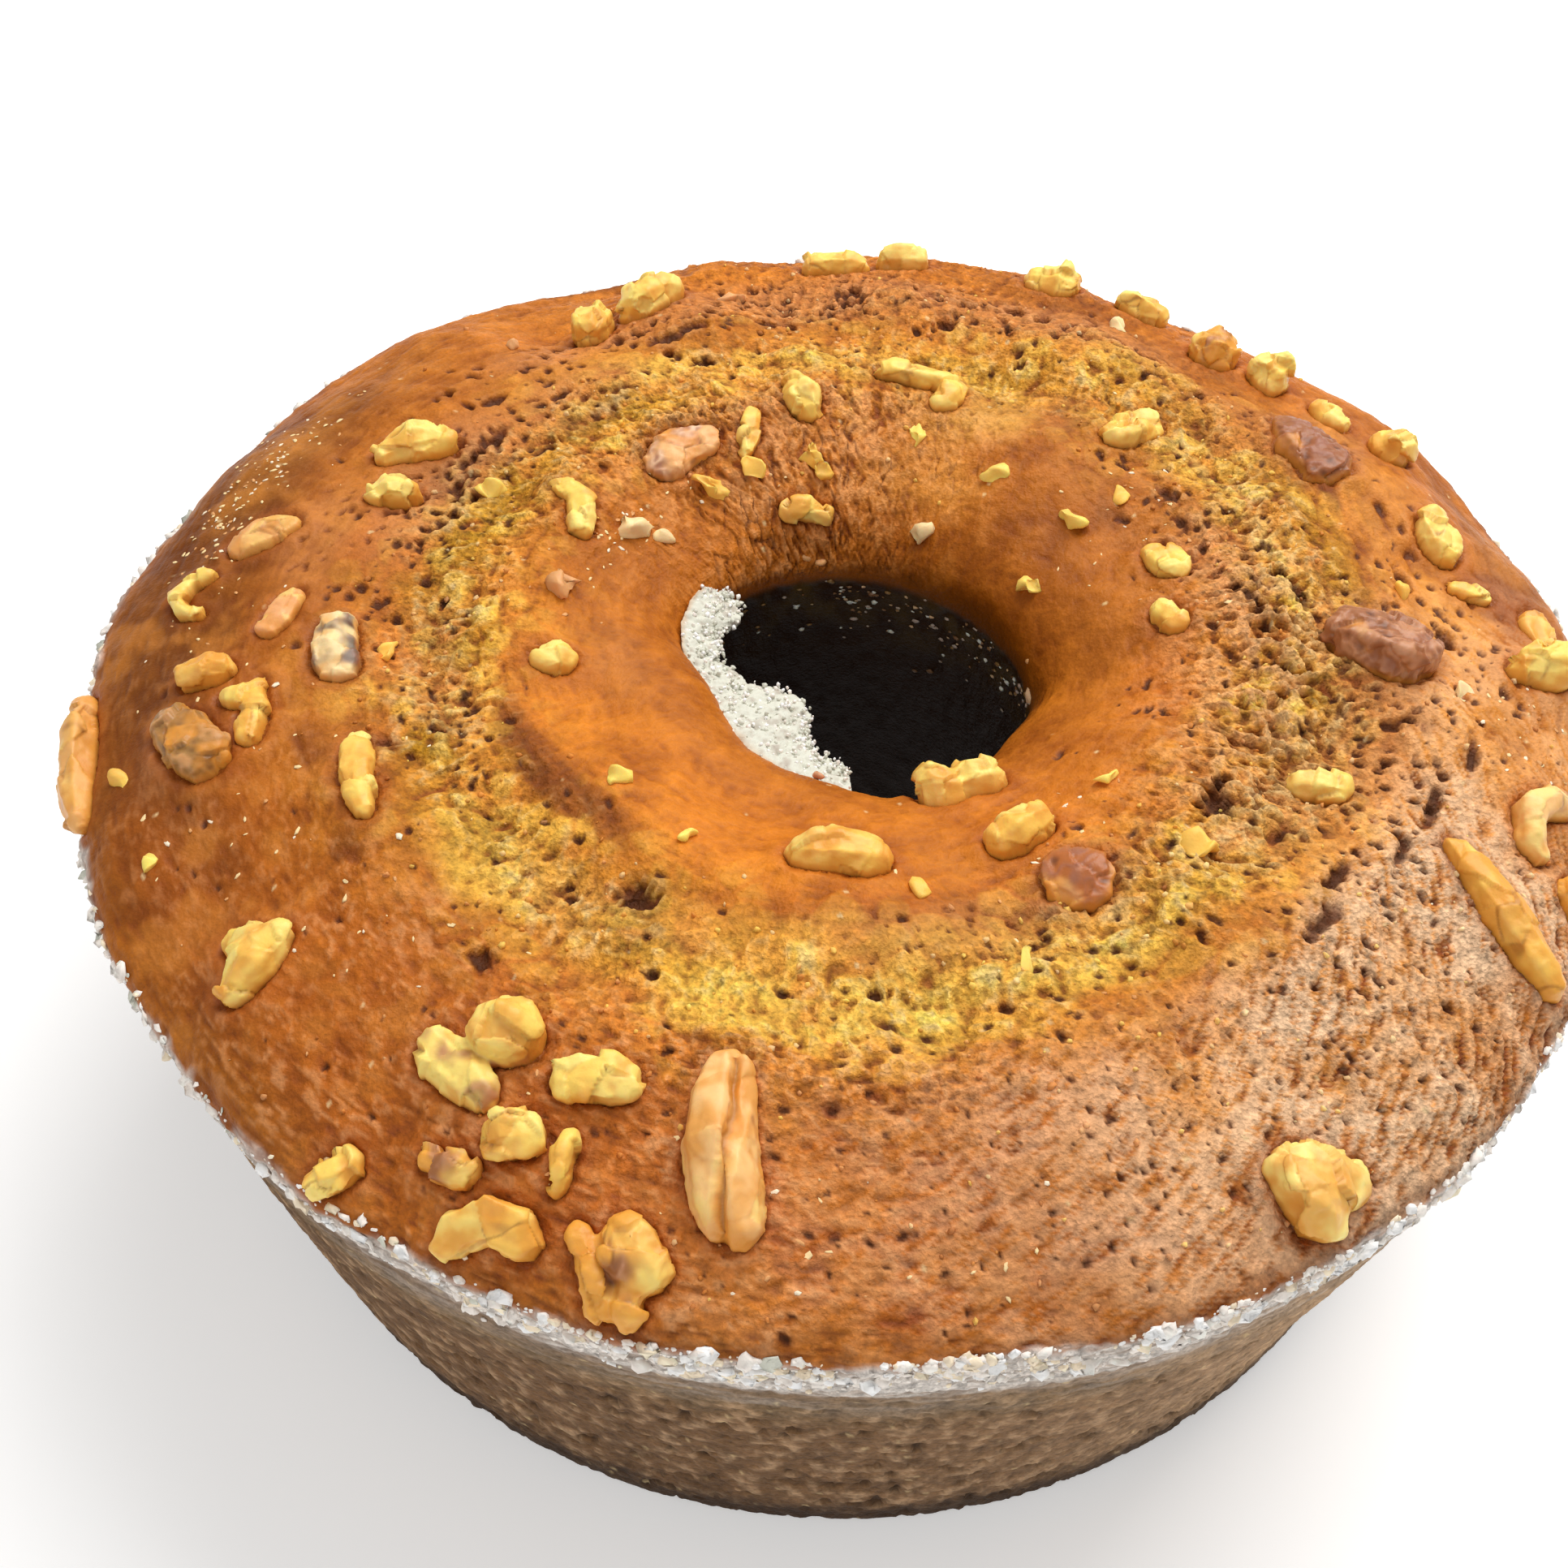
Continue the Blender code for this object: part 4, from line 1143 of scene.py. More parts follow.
class Cake:
    """The ring: crust, side and tube, painted and roughened on one grid and cut into closed shells."""

    slot: str = "crust"
    columns: int = 1440

    def __init__(self, ring: Ring, nuts: list) -> None:
        """Lays the grid: rows from the tube's foot to the base's edge, finest just under the rim.

        Args:
            ring: the ring's form.
            nuts: the pieces that press into it.
        """
        coarse = 1
        lip, _, rim, end = ring.marks
        # Each stretch's first and last travel, and how far apart its rows are
        stretches = (
            (0, lip - 3, 1.5), (lip - 3, rim + 1, 0.44), (rim + 1, rim + 21, 0.31), (rim + 21, end, 1.1)
        )
        counts = [ceil((last - first) / (step * coarse)) for first, last, step in stretches]
        parts = [
            np.linspace(first, last, count, endpoint=False)
            for (first, last, _), count in zip(stretches, counts)
        ]
        self.ring, self.nuts = ring, nuts
        self.cuts = np.cumsum([0, *counts])
        self.sheet = Sheet(ring, np.concatenate([*parts, [end]]), int(self.columns / coarse))
        self.rng = np.random.default_rng(77)
        self._masks()

    def _masks(self) -> None:
        """The soft-edged regions that the layers below share."""
        sheet, ring = self.sheet, self.ring
        lip, _, rim, _ = ring.marks
        self.past_lip, self.past_rim = sheet.travels - lip, sheet.travels - rim
        self.warp = [3.2 * fractal(sheet.points, 9, seed) for seed in (21, 22)]
        self.mottle = fractal(sheet.points, 6, 23, 3)
        self.broad = fractal(sheet.points, 22, 24, 2)
        self.on_top = ease(-1, 3, self.past_lip) * ease(0.5, -1.5, self.past_rim + 0.5 * self.mottle)
        off_crack = sheet.reach - ring.crack(sheet.bearings) + self.warp[1]
        self.golden = bell(off_crack, 9.5) * self.on_top
        outside = ease(80, 92, sheet.reach + self.warp[1]) * self.on_top
        within = ease(68, 58, sheet.reach + self.warp[0]) * self.on_top
        self.crest = bell(off_crack, 14) * self.on_top
        self.rosy = bell(turned(320, sheet.bearings), radians(33))
        self.rosy *= ease(83, 98, sheet.reach + self.warp[1])
        self.rosy *= self.on_top
        self.front = bell(turned(262, sheet.bearings), radians(36)) * outside * (1 - self.rosy)
        self.fibrous = bell(turned(90, sheet.bearings), radians(42)) * outside
        self.left = outside * (1 - self.rosy) * (1 - self.front) * (1 - self.fibrous)
        self.flaky = bell(turned(105, sheet.bearings), radians(40)) * within
        self.knobby = bell(turned(352, sheet.bearings), radians(34))
        self.knobby *= bell(sheet.reach + self.warp[0] - 66, 13)
        self.knobby *= self.on_top
        self.bowl = within * (1 - self.flaky) * (1 - self.knobby)
        self.crumb = self.crest + self.rosy + 0.7 * self.fibrous + 0.45 * self.front + self.knobby
        self.crumb = np.clip(self.crumb, 0, 1)
        self.spongy = np.zeros(sheet.shape, np.float32)
        for bearing, reach, turn, depth, amount in SPONGY_ROWS:
            patch = sheet.patch(Patch(bearing, reach, turn, depth, amount), self.warp)
            self.spongy = np.maximum(self.spongy, patch * self.on_top)

    def _nearness(self) -> Array:
        """How far each point is from the nearest walnut piece, below 0 inside it.

        Around each piece, each grid point looks for the nearest of the piece's points that lie
        close to the surface, and the piece's normal there tells inside from outside.
        """
        sheet = self.sheet
        apart = np.full(sheet.shape, 9, np.float32)
        for nut in self.nuts:
            near = np.abs(nut.height - 0.6) < 0.9
            spots, normals = nut.points[near][::3], nut.normals[near][::3]
            bearing, travel, _ = self.ring.locate(spots)
            middle = np.arctan2(np.sin(bearing).mean(), np.cos(bearing).mean()) % (2 * pi)
            half = np.ptp(travel) / 2 + 6 + np.ptp(turned(np.degrees(middle), bearing)) * 60
            rows, columns, _, _ = sheet.window(middle, (travel.min() + travel.max()) / 2, half)
            places = sheet.points[rows][:, columns]
            flat_places = places.reshape(-1, 3)
            squares = (
                (flat_places**2).sum(axis=1)[:, None] + (spots**2).sum(axis=1) - 2 * flat_places @ spots.T
            )
            nearest = squares.argmin(axis=1)
            way = flat_places - spots[nearest]
            _, _, up = self.ring.locate(spots)
            level = normals - up * np.einsum("ij,ij->i", normals, up)[:, None]
            side = np.sign(np.einsum("ij,ij->i", way, level[nearest]))
            sideways = way - up[nearest] * np.einsum("ij,ij->i", way, up[nearest])[:, None]
            distance = side * np.linalg.norm(sideways, axis=1)
            block = np.ix_(np.arange(rows.start, rows.stop), columns)
            apart[block] = np.minimum(apart[block], distance.reshape(places.shape[:2]))
        return apart

    def _pores(self) -> tuple:
        """Pits in the crumb, thick in some zones, each an ellipse with a raised edge and a bed darkened as
        painted shade.

        Returns:
            The heights that they add, and how dark each point is, which is painted shade.
        """
        sheet, rng = self.sheet, self.rng
        out, dark = np.zeros(sheet.shape, np.float32), np.zeros(sheet.shape, np.float32)
        rows = [
            (radians(bearing), self.ring.travel_at(reach), long, wide, 0.5 * wide + 0.5, 0.0)
            for bearing, reach, long, wide in PIT_ROWS
        ]
        for zone in PORE_ZONES:
            spread = min(zone.spread * 1.6, 180)
            area = 2 * radians(spread) * zone.reach * zone.depth * 3
            count = int(area * zone.density)
            bearing = radians(zone.bearing) + radians(zone.spread) * rng.normal(0, 0.6, count)
            if spread == 180:
                bearing = rng.uniform(0, 2 * pi, count)
            reach = zone.reach + zone.depth * rng.normal(0, 0.6, count)
            kept = (reach > 40) & (reach < 123)
            scale = rng.uniform(0.45, 1.25, count) ** 1.6
            tilt = rng.normal(0, 0.35, count)
            sizes = ((largest * scale)[kept] for largest in (zone.long, zone.wide, zone.deep))
            rows += list(zip(bearing[kept], self.ring.travel_at(reach[kept]), *sizes, tilt[kept]))
        for bearing, travel, long, wide, deep, tilt in rows:
            part, columns, side, away = sheet.window(bearing % (2 * pi), travel, 2.2 * max(long, wide))
            if side.size == 0:
                continue
            turned_side = side * cos(tilt) + away * sin(tilt)
            turned_away = away * cos(tilt) - side * sin(tilt)
            block = np.ix_(np.arange(part.start, part.stop), columns)
            ragged = 1 + 0.4 * self.mottle[block] + 0.3 * self.worms[block]
            size = np.hypot(turned_side / long, turned_away / wide) * ragged
            inside = np.exp(-(size**3))
            out[block] += 0.06 * deep * bell(size - 1.45, 0.4) - 1.2 * deep * inside
            dark[block] = np.maximum(dark[block], inside)
        return np.maximum(out, -2.4), dark

    def _flour(self) -> Array:
        """How floury each point is: a band under the rim, ragged below and thickest at the front."""
        sheet = self.sheet
        strength = (
            0.32 + 0.75 * bell(turned(282, sheet.bearings), radians(36))
            + 0.45 * bell(turned(325, sheet.bearings), radians(22))
            + 0.35 * bell(turned(200, sheet.bearings), radians(40))
        )
        crept = 2 * bell(turned(200, sheet.bearings), radians(36))
        crept *= ease(-0.3, 0.3, self.broad + 0.5 * self.mottle)
        drop = self.past_rim + 2.2 * self.mottle + 1.2 * self.broad + crept
        band = ease(4 + 9 * strength, 2 + 5 * strength, drop) * ease(-1.2, 0.4, drop)
        streaks = sheet.ribbon(5, 0.9, 61, 0.3)
        veil = 0.35 * ease(26, 8, drop) * ease(-0.5, 0.8, sheet.ribbon(12, 2, 62, 0.4))
        shown = band * (0.25 + 0.75 * ease(-0.4, 0.25, streaks + 0.5 * self.mottle))
        shown += veil * ease(0, 3, drop)
        return np.clip(shown * np.minimum(strength, 1) * 1.25, 0, 1)

    def build(self) -> None:
        """Works out the heights, then the colours that follow from them, then the roughness."""
        sheet = self.sheet
        level = sheet.unrolled().astype(np.float32)
        sway = np.stack([self.warp[0], self.warp[1], 1.5 * self.mottle], axis=-1)
        granules = cells(level + 0.4 * sway, (2.5, 2.5, 1.9), 31)
        clods = cells(level + 0.6 * sway, (6.5, 6.5, 4.6), 33)
        flakes = cells(level + 1.1 * sway, (4, 4, 7), 34)
        worms = ridges(fractal(level + 0.8 * sway, (2.4, 2.4, 3.4), 48, 2))
        curls = ridges(fractal(level + 1.1 * sway, (6, 6, 7), 49, 3))
        fibres = ridges(sheet.ribbon(2, 11, 35, 0.15))
        leaves = ridges(sheet.ribbon(2.6, 8, 52, 0.9)) * ease(-0.3, 0.3, self.warp[0])
        leaves += ridges(sheet.ribbon(3, 7, 53, -0.9)) * ease(0.3, -0.3, self.warp[0])
        strands = ridges(sheet.ribbon(10, 2, 36, 0.5))
        strokes = ridges(sheet.ribbon(1.4, 3.6, 50, 1.2))
        dashes = ridges(sheet.ribbon(3.4, 1.5, 51))
        fine = fractal(sheet.points, 1.5, 37, 3)
        self.granule, self.clods, self.worms, self.curls = granules, clods, worms, curls
        self.strokes, self.dashes = strokes, dashes
        dome = 1 - clods.nearest**2 * 2.4
        self.grit = (
            self.crest * (0.4 * dome + 0.45 * curls + 0.35 * worms)
            + self.rosy * (0.6 * strokes + 0.4 * worms + 0.3 * curls)
            + self.front * (0.6 * dashes + 0.35 * worms + 0.3 * curls)
            + self.left * (0.3 * strands + 0.35 * dashes + 0.3 * curls + 0.45 * self.mottle)
            + self.fibrous * (0.5 * fibres + 0.45 * worms + 0.3 * curls)
            + self.flaky * (0.55 * leaves + 0.4 * worms + 0.3 * curls)
            + self.knobby * (0.4 * dome + 0.5 * curls + 0.5 * worms)
            + self.bowl * (0.4 * strands + 0.3 * dashes + 0.45 * self.mottle)
        )
        rise = (
            0.85 * self.crest + 0.5 * self.rosy + 0.42 * self.front + 0.22 * self.left + 0.5 * self.fibrous
            + 0.55 * self.flaky + 0.18 * self.bowl + 0.75 * self.knobby
        )
        out = rise * self.grit + self.on_top * (0.45 * self.broad + 0.25 * self.mottle + 0.06 * fine)
        out += self.crumb * 0.9 * (clods.value - 0.5) * ease(0, 0.3, clods.seam)
        out += 0.1 * self.crumb * (1 - granules.nearest**2 * 2)
        tilt = flakes.offset[..., 2] * (flakes.value - 0.5) * 1.9
        tilt += flakes.offset[..., 0] * (flakes.value - 0.4)
        torn = ease(-0.1, 0.3, noise(level, 8, 55))
        out += self.flaky * (tilt * 0.9 - 0.3 * torn * ease(0.09, 0, flakes.seam))
        self.tear = ease(0.1, 0, flakes.seam) * self.flaky * torn
        self.holes = ease(0.22, 0.5, fractal(level + 0.7 * sway, (2.7, 2.7, 2.1), 54, 2)) * self.spongy
        out -= 1.1 * self.holes
        pore_out, self.pore = self._pores()
        out += pore_out
        self.apart = self._nearness()
        swollen = 0.9 * bell(self.apart - 1.7, 1.7) * (0.6 + 0.5 * self.mottle)
        out += swollen - 0.5 * bell(self.apart - 0.1, 0.4)
        out -= 1.6 * ease(0.1, -1.2, self.apart)
        self.floury = self._flour()
        on_side = ease(-0.5, 1.5, self.past_rim)
        crusty = cells(sheet.points, 1.9, 38)
        out += self.floury * (0.45 * (1 - crusty.nearest**2 * 1.5) + 0.6 * np.maximum(self.mottle, -0.3))
        side_pores = ease(0.26, 0.5, noise(level, (2, 2, 3.4), 39)) * ease(14, 30, self.past_rim)
        side_pores *= ease(-0.35, 0.25, noise(level, 11, 56))
        self.side_grain = fractal(level, (1.7, 1.7, 4), 57, 3)
        out += on_side * (0.06 * strands + 0.2 * worms + 0.3 * self.side_grain - 0.8 * side_pores)
        in_tube = ease(0.5, -2, self.past_lip)
        tube_lumps = cells(sheet.points, 3.2, 40)
        out += in_tube * (0.8 * (0.6 - tube_lumps.nearest) + 0.35 * self.mottle)
        ragged_rim = bell(self.past_rim + 0.2, 1.3)
        out += ragged_rim * (0.5 * fine + 0.35 * noise(sheet.points, 3, 47))
        self.out = out.astype(np.float32)
        self.side_pores, self.on_side, self.in_tube, self.strands = side_pores, on_side, in_tube, strands
        self._paint()

    def _paint(self) -> None:
        """The crust's colours: coats, clods, the grit's tint, painted shade in hollows and painted
        highlights on rises, pores darkened as painted shade, specks, and nut rims darkened partly as glaze
        and partly as painted shade.
        """
        sheet = self.sheet
        hues = flat(Tone.CARAMEL, sheet.shape)
        for coat in BROAD_COATS:
            patchy = ease(-0.9, 0.5, self.broad + coat.amount)
            hues = paint(hues, coat.tone, sheet.patch(coat, self.warp) * patchy)
        hues = paint(hues, Tone.GOLDEN, 0.85 * self.golden * ease(-0.6, 0.4, self.mottle + 0.3))
        hues = paint(hues, Tone.LIME, 0.45 * self.golden * ease(0.1, 0.5, self.broad))
        for coat in NAMED_COATS:
            hues = paint(hues, coat.tone, sheet.patch(coat, self.warp))
        kind, inside = self.clods.value, ease(0, 0.25, self.clods.seam) * self.crest
        hues = paint(hues, Tone.BRIGHT, 0.6 * inside * ease(0.55, 0.75, kind))
        hues = paint(hues, Tone.OLIVE, 0.45 * inside * ease(0.25, 0.12, kind))
        hues = paint(hues, Tone.SALMON, 0.55 * inside * bell(kind - 0.42, 0.1))
        warmth, deeper = np.array(WARMTH, np.float32), np.array(DEEPER, np.float32)
        hues = hues * warmth * (1 - (1 - self.golden[..., None]) * deeper)
        depth = (
            0.5 * self.crest + 0.5 * self.rosy + 0.55 * self.front + 0.42 * self.left + 0.62 * self.fibrous
            + 0.62 * self.flaky + 0.34 * self.bowl + 0.5 * self.knobby
        )
        # The grit's tint lightens its raised parts as painted light and darkens its hollows as painted
        # shade; the granules, the mottle and the broad noise add the crust's own changes of tone
        tint = depth * self.grit + (self.granule.value - 0.5) * 0.2 * self.crumb
        tint += (0.35 * self.mottle + 0.07 * self.warp[0] + 0.25 * self.broad) * self.on_top
        hues = hues * (1 + np.maximum(tint, -0.7)[..., None] * np.array(GRIT_TINT, np.float32))
        # Painted light and shade from the relief: broad hollows painted red-brown as shade, broad rises and
        # raised crumb lightened as painted highlights, and small hollows painted dark as shade
        basin, around = (self.out - soften(self.out, size, size) for size in (12, 4))
        raised = 0.5 * ease(0.12, 0.5, around) * self.on_top * self.crumb
        hues = paint_all(
            hues,
            (Tone.ROSY, 0.45 * self.spongy),
            (Tone.RED_BROWN, 0.45 * ease(-0.1, -0.9, basin) * self.on_top),
            (Tone.BRIGHT, 0.4 * ease(0.2, 0.9, basin) * self.golden),
            (Tone.PINK_TAN, 0.4 * ease(0.2, 0.9, basin) * self.knobby),
            (Tone.BRIGHT, raised * self.golden),
            (Tone.PINK_TAN, raised * (1 - self.golden)),
            (Tone.GLAZE_AND_SHADE, 0.7 * ease(-0.06, -0.45, around) * self.on_top),
        )
        specks = cells(sheet.points, 2.6, 71)
        pale = ease(0.2, 0.1, specks.nearest) * (specks.value > 0.94)
        hues = paint_all(
            self._paint_strokes(hues),
            # Tears, holes and pores are darkened as painted shade
            (Tone.MAROON, 0.7 * self.tear),
            (Tone.MAROON, 0.9 * self.holes),
            (Tone.MAROON, 0.8 * ease(0.15, 0.7, self.pore)),
            (Tone.UMBER, 0.8 * ease(0.55, 0.95, self.pore)),
            (Tone.CREAM, 0.7 * pale * self.on_top),
            # Where the crust meets a walnut piece it is darkened in two rings, partly as glaze and partly as
            # painted shade
            (Tone.GLAZE_AND_SHADE, 0.75 * bell(self.apart, 0.75)),
            (Tone.RED_BROWN, 0.3 * bell(self.apart - 1, 1.6)),
        )
        self._paint_side_and_tube(hues)

    def _paint_strokes(self, hues: Array) -> Array:
        """The strokes of the front right and the front, the left's gold, and the paler parts elsewhere. In
        each zone the raised strokes are painted lighter as painted highlights and the hollows darker as
        painted shade, over the crust's own streaks.
        """
        patchy = ease(-0.45, 0.35, self.broad + 0.5 * self.mottle)
        light = 0.8 * self.strokes + 0.35 * self.worms + 0.15 * self.curls + 0.45 * self.mottle
        streaks = 0.65 * self.dashes + 0.4 * self.worms + 0.4 * self.mottle
        near_front = np.clip(self.front + 0.12 * self.left, 0, 1)
        gold = ease(0, 0.4, self.warp[0] / 3 + 0.3 * self.broad)
        fibres = 0.5 * self.grit + 0.5 * self.mottle
        knobs = 0.5 * self.curls + 0.4 * self.worms + 0.4 * self.mottle
        belt = 0.4 * self.curls + 0.4 * self.worms + 0.5 * self.mottle
        return paint_all(
            hues,
            (Tone.PINK_TAN, 0.7 * self.rosy * patchy * ease(-0.4, 0.1, light)),
            # The palest pink on the raised strokes is a painted highlight, and the red-brown in their
            # hollows is deepened with ROSE_DARK and MAROON as painted shade
            (Tone.ROSE_HIGHLIGHT, 0.9 * self.rosy * ease(0.12, 0.5, light) * (0.3 + 0.7 * patchy)),
            (Tone.ROSE_DARK, 0.75 * self.rosy * ease(-0.15, -0.6, light)),
            (Tone.MAROON, 0.5 * self.rosy * ease(-0.6, -1, light)),
            (Tone.ROSE_DARK, 0.7 * near_front * ease(-0.1, -0.75, streaks)),
            (Tone.PINK_TAN, 0.7 * near_front * ease(0.45, 0.95, streaks) * (0.3 + 0.7 * patchy)),
            (Tone.ORANGE, 0.35 * np.clip(self.left + self.front, 0, 1) * gold),
            (Tone.PINK_TAN, 0.5 * self.flaky * ease(0.15, 0.5, fibres)),
            (Tone.ROSE_DARK, 0.6 * self.flaky * ease(0, -0.4, fibres)),
            (Tone.PINK_TAN, 0.75 * self.knobby * ease(0, 0.7, knobs)),
            (Tone.ROSE_DARK, 0.45 * self.knobby * ease(-0.2, -0.8, knobs)),
            (Tone.CREAM, 0.45 * self.golden * ease(0.45, 0.95, belt)),
            (Tone.RED_BROWN, 0.5 * self.golden * ease(-0.2, -0.7, belt)),
        )

    def _paint_side_and_tube(self, hues: Array) -> None:
        """The side's olive band, its front right painted tan as painted light and its left darker as painted
        shade, its grain lighter on bumps and darker in dips as painted light and shade, its pores darkened
        as painted shade and its dark foot; the tube's near black, which is painted shade; and the flour.
        """
        sheet = self.sheet
        drop = self.past_rim + 2.4 * self.mottle
        side = paint_all(
            flat(Tone.SIDE, sheet.shape),
            (Tone.SIDE_OLIVE, 0.8 * bell(drop - 17, 8)),
            # The front right is painted tan as painted light, and the left darker as painted shade
            (Tone.SIDE_TAN, 0.85 * bell(turned(322, sheet.bearings), radians(26))),
            (Tone.DUSTY, 0.3 * ease(30, 6, drop)),
            (Tone.SIDE_DARK, 0.3 * bell(turned(190, sheet.bearings), radians(50))),
        )
        rough_grain = 0.06 * self.strands + 0.4 * self.worms + 1.3 * self.side_grain + 0.5 * self.mottle
        foot = self.ring.marks[3] - sheet.travels + 3 * self.mottle - 4
        specks = cells(sheet.points, 2.2, 72)
        side = paint_all(
            side * (1 + 0.04 * self.strands[..., None] + 0.4 * self.mottle[..., None]),
            # Lighter on the grain's bumps and darker in its dips, partly as painted light and shade, and the
            # pores darkened as painted shade
            (Tone.SIDE_TAN, 0.6 * ease(0.2, 0.9, rough_grain) * ease(10, 22, drop)),
            (Tone.SIDE_DARK, 0.55 * ease(-0.2, -0.9, rough_grain) * ease(8, 18, drop)),
            (Tone.SIDE_DARK, 0.85 * self.side_pores),
            (Tone.SIDE_DARK, 0.9 * ease(16, 4, foot)),
            (Tone.CREAM, 0.5 * ease(0.3, 0.15, specks.nearest) * (specks.value > 0.9)),
        )
        edge = bell(self.past_rim + 1.2 + 0.8 * self.mottle, 1.7)
        edge = edge * (0.4 + 0.6 * ease(-0.4, 0.2, self.broad))
        hues = paint(hues, Tone.MAROON, 0.55 * edge)
        hues = hues * (1 - self.on_side[..., None]) + side * self.on_side[..., None]
        # The tube is painted near black, as painted shade over its dark crust
        tube = flat(Tone.HOLE, sheet.shape)
        back = bell(turned(75, sheet.bearings), radians(80)) * ease(-22, -4, self.past_lip)
        tube = paint(tube, Tone.HOLE_OLIVE, back * ease(-0.3, 0.4, self.mottle))
        far = bell(turned(35, sheet.bearings), radians(62))
        lip_edge = ease(3.2 + 5 * far, 0.2, self.past_lip + 1.5 * self.mottle)
        hues = paint(hues, Tone.GLAZE_AND_SHADE, 0.6 * lip_edge)
        hues = paint(hues, Tone.DARK_OLIVE, 0.4 * lip_edge * far)
        shade = far * (0.55 * ease(30, 8, self.past_lip) + 0.45 * ease(14, 3, self.past_lip))
        hues = hues * (1 - shade[..., None] * np.array(FAR_SHADE, np.float32))
        hues = hues * (1 - self.in_tube[..., None]) + tube * self.in_tube[..., None]
        hues = paint(hues, Tone.FLOUR, 0.92 * self.floury)
        rough = 0.46 + 0.14 * self.crumb
        rough = rough * (1 - self.on_side) + 0.75 * self.on_side
        rough = rough * (1 - self.in_tube) + 0.4 * self.in_tube
        rough = rough - 0.25 * bell(self.apart, 0.9) * self.on_top
        self.rough = rough * (1 - self.floury) + 0.9 * self.floury
        self.crumbly = 0.08 + 0.92 * np.clip(np.maximum(self.crumb + 0.6 * self.flaky, self.floury), 0, 1)
        self.crumbly = np.maximum(self.crumbly, 0.7 * self.on_side)
        self.colours = hues.astype(np.float32)

    def dress(self, material: bpy.types.Material, tube_finish: bpy.types.Material) -> None:
        """Cuts the grid into shells that share their border rows, and adds the core inside them."""
        tube_end, top_end, upper_end, last = self.cuts[1:]
        quarters = np.linspace(tube_end, top_end, 5).astype(int)
        names = ("crust_inner", "crust_inner_crest", "crust_outer_crest", "crust_outer")
        pieces = [(name, first, end) for name, first, end in zip(names, quarters[:-1], quarters[1:])]
        pieces += [("side_upper", top_end, upper_end), ("side_lower", upper_end, last)]
        points, paints = self.sheet.placed(self.out), (self.colours, self.rough, self.crumbly)
        for name, first, end in pieces:
            shape = self.sheet.shell(slice(first, end + 1), points, paints, SHELL_THICKNESS)
            add_piece(name, shape, material, self.slot, "cake")
        self._core(tube_finish, tube_end)

    def _core(self, material: bpy.types.Material, tube_end: int) -> None:
        """The tube's wall, a hidden slope inside the cake, and the flat base, as one closed ring."""
        sheet = self.sheet
        tube = sheet.placed(self.out)[: tube_end + 1]
        tube[0, :, 2] = 0
        around = np.stack([np.cos(sheet.bearings[0]), np.sin(sheet.bearings[0])], axis=-1)
        rings = [(60, 78), (self.ring.base_radius - 5, 4), (self.ring.base_radius - self.ring.base_edge, 0)]
        hidden = np.array([
            np.concatenate([around * reach, np.full((sheet.columns, 1), height)], axis=1)
            for reach, height in rings
        ])
        points = np.concatenate([tube, hidden]).astype(np.float32)
        hues = np.concatenate([self.colours[: tube_end + 1], flat(Tone.SIDE_DARK, hidden.shape[:2])])
        rough = np.concatenate([self.rough[: tube_end + 1], np.full(hidden.shape[:2], 0.8)])
        border = np.zeros(points.shape[:2], np.int32)
        border[0], border[tube_end], border[-1] = 1, 2, 3
        faces = closed_faces(len(points), sheet.columns)
        crumb = np.full(rough.shape, 0.4)
        shape = Shape(
            points.reshape(-1, 3), faces, hues.reshape(-1, 3), rough.ravel(), crumb.ravel(), border.ravel()
        )
        add_piece("core", shape, material, self.slot, "cake")


# Small things on the cake


def ball(segments: int) -> tuple:
    """A ball of unit radius made of triangles: its points and faces.

    Args:
        segments: how many parts its belt has; it has one row fewer from pole to pole.

    Returns:
        The points and the faces.
    """
    mesh = bpy.data.meshes.new("ball")
    maker = bmesh.new()
    bmesh.ops.create_uvsphere(maker, u_segments=segments, v_segments=segments - 1, radius=1)
    bmesh.ops.triangulate(maker, faces=maker.faces)
    maker.to_mesh(mesh)
    maker.free()
    points = np.empty(len(mesh.vertices) * 3, np.float32)
    mesh.vertices.foreach_get("co", points)
    faces = np.empty(len(mesh.loops), np.int32)
    mesh.loops.foreach_get("vertex_index", faces)
    bpy.data.meshes.remove(mesh)
    return points.reshape(-1, 3), faces.reshape(-1, 3)


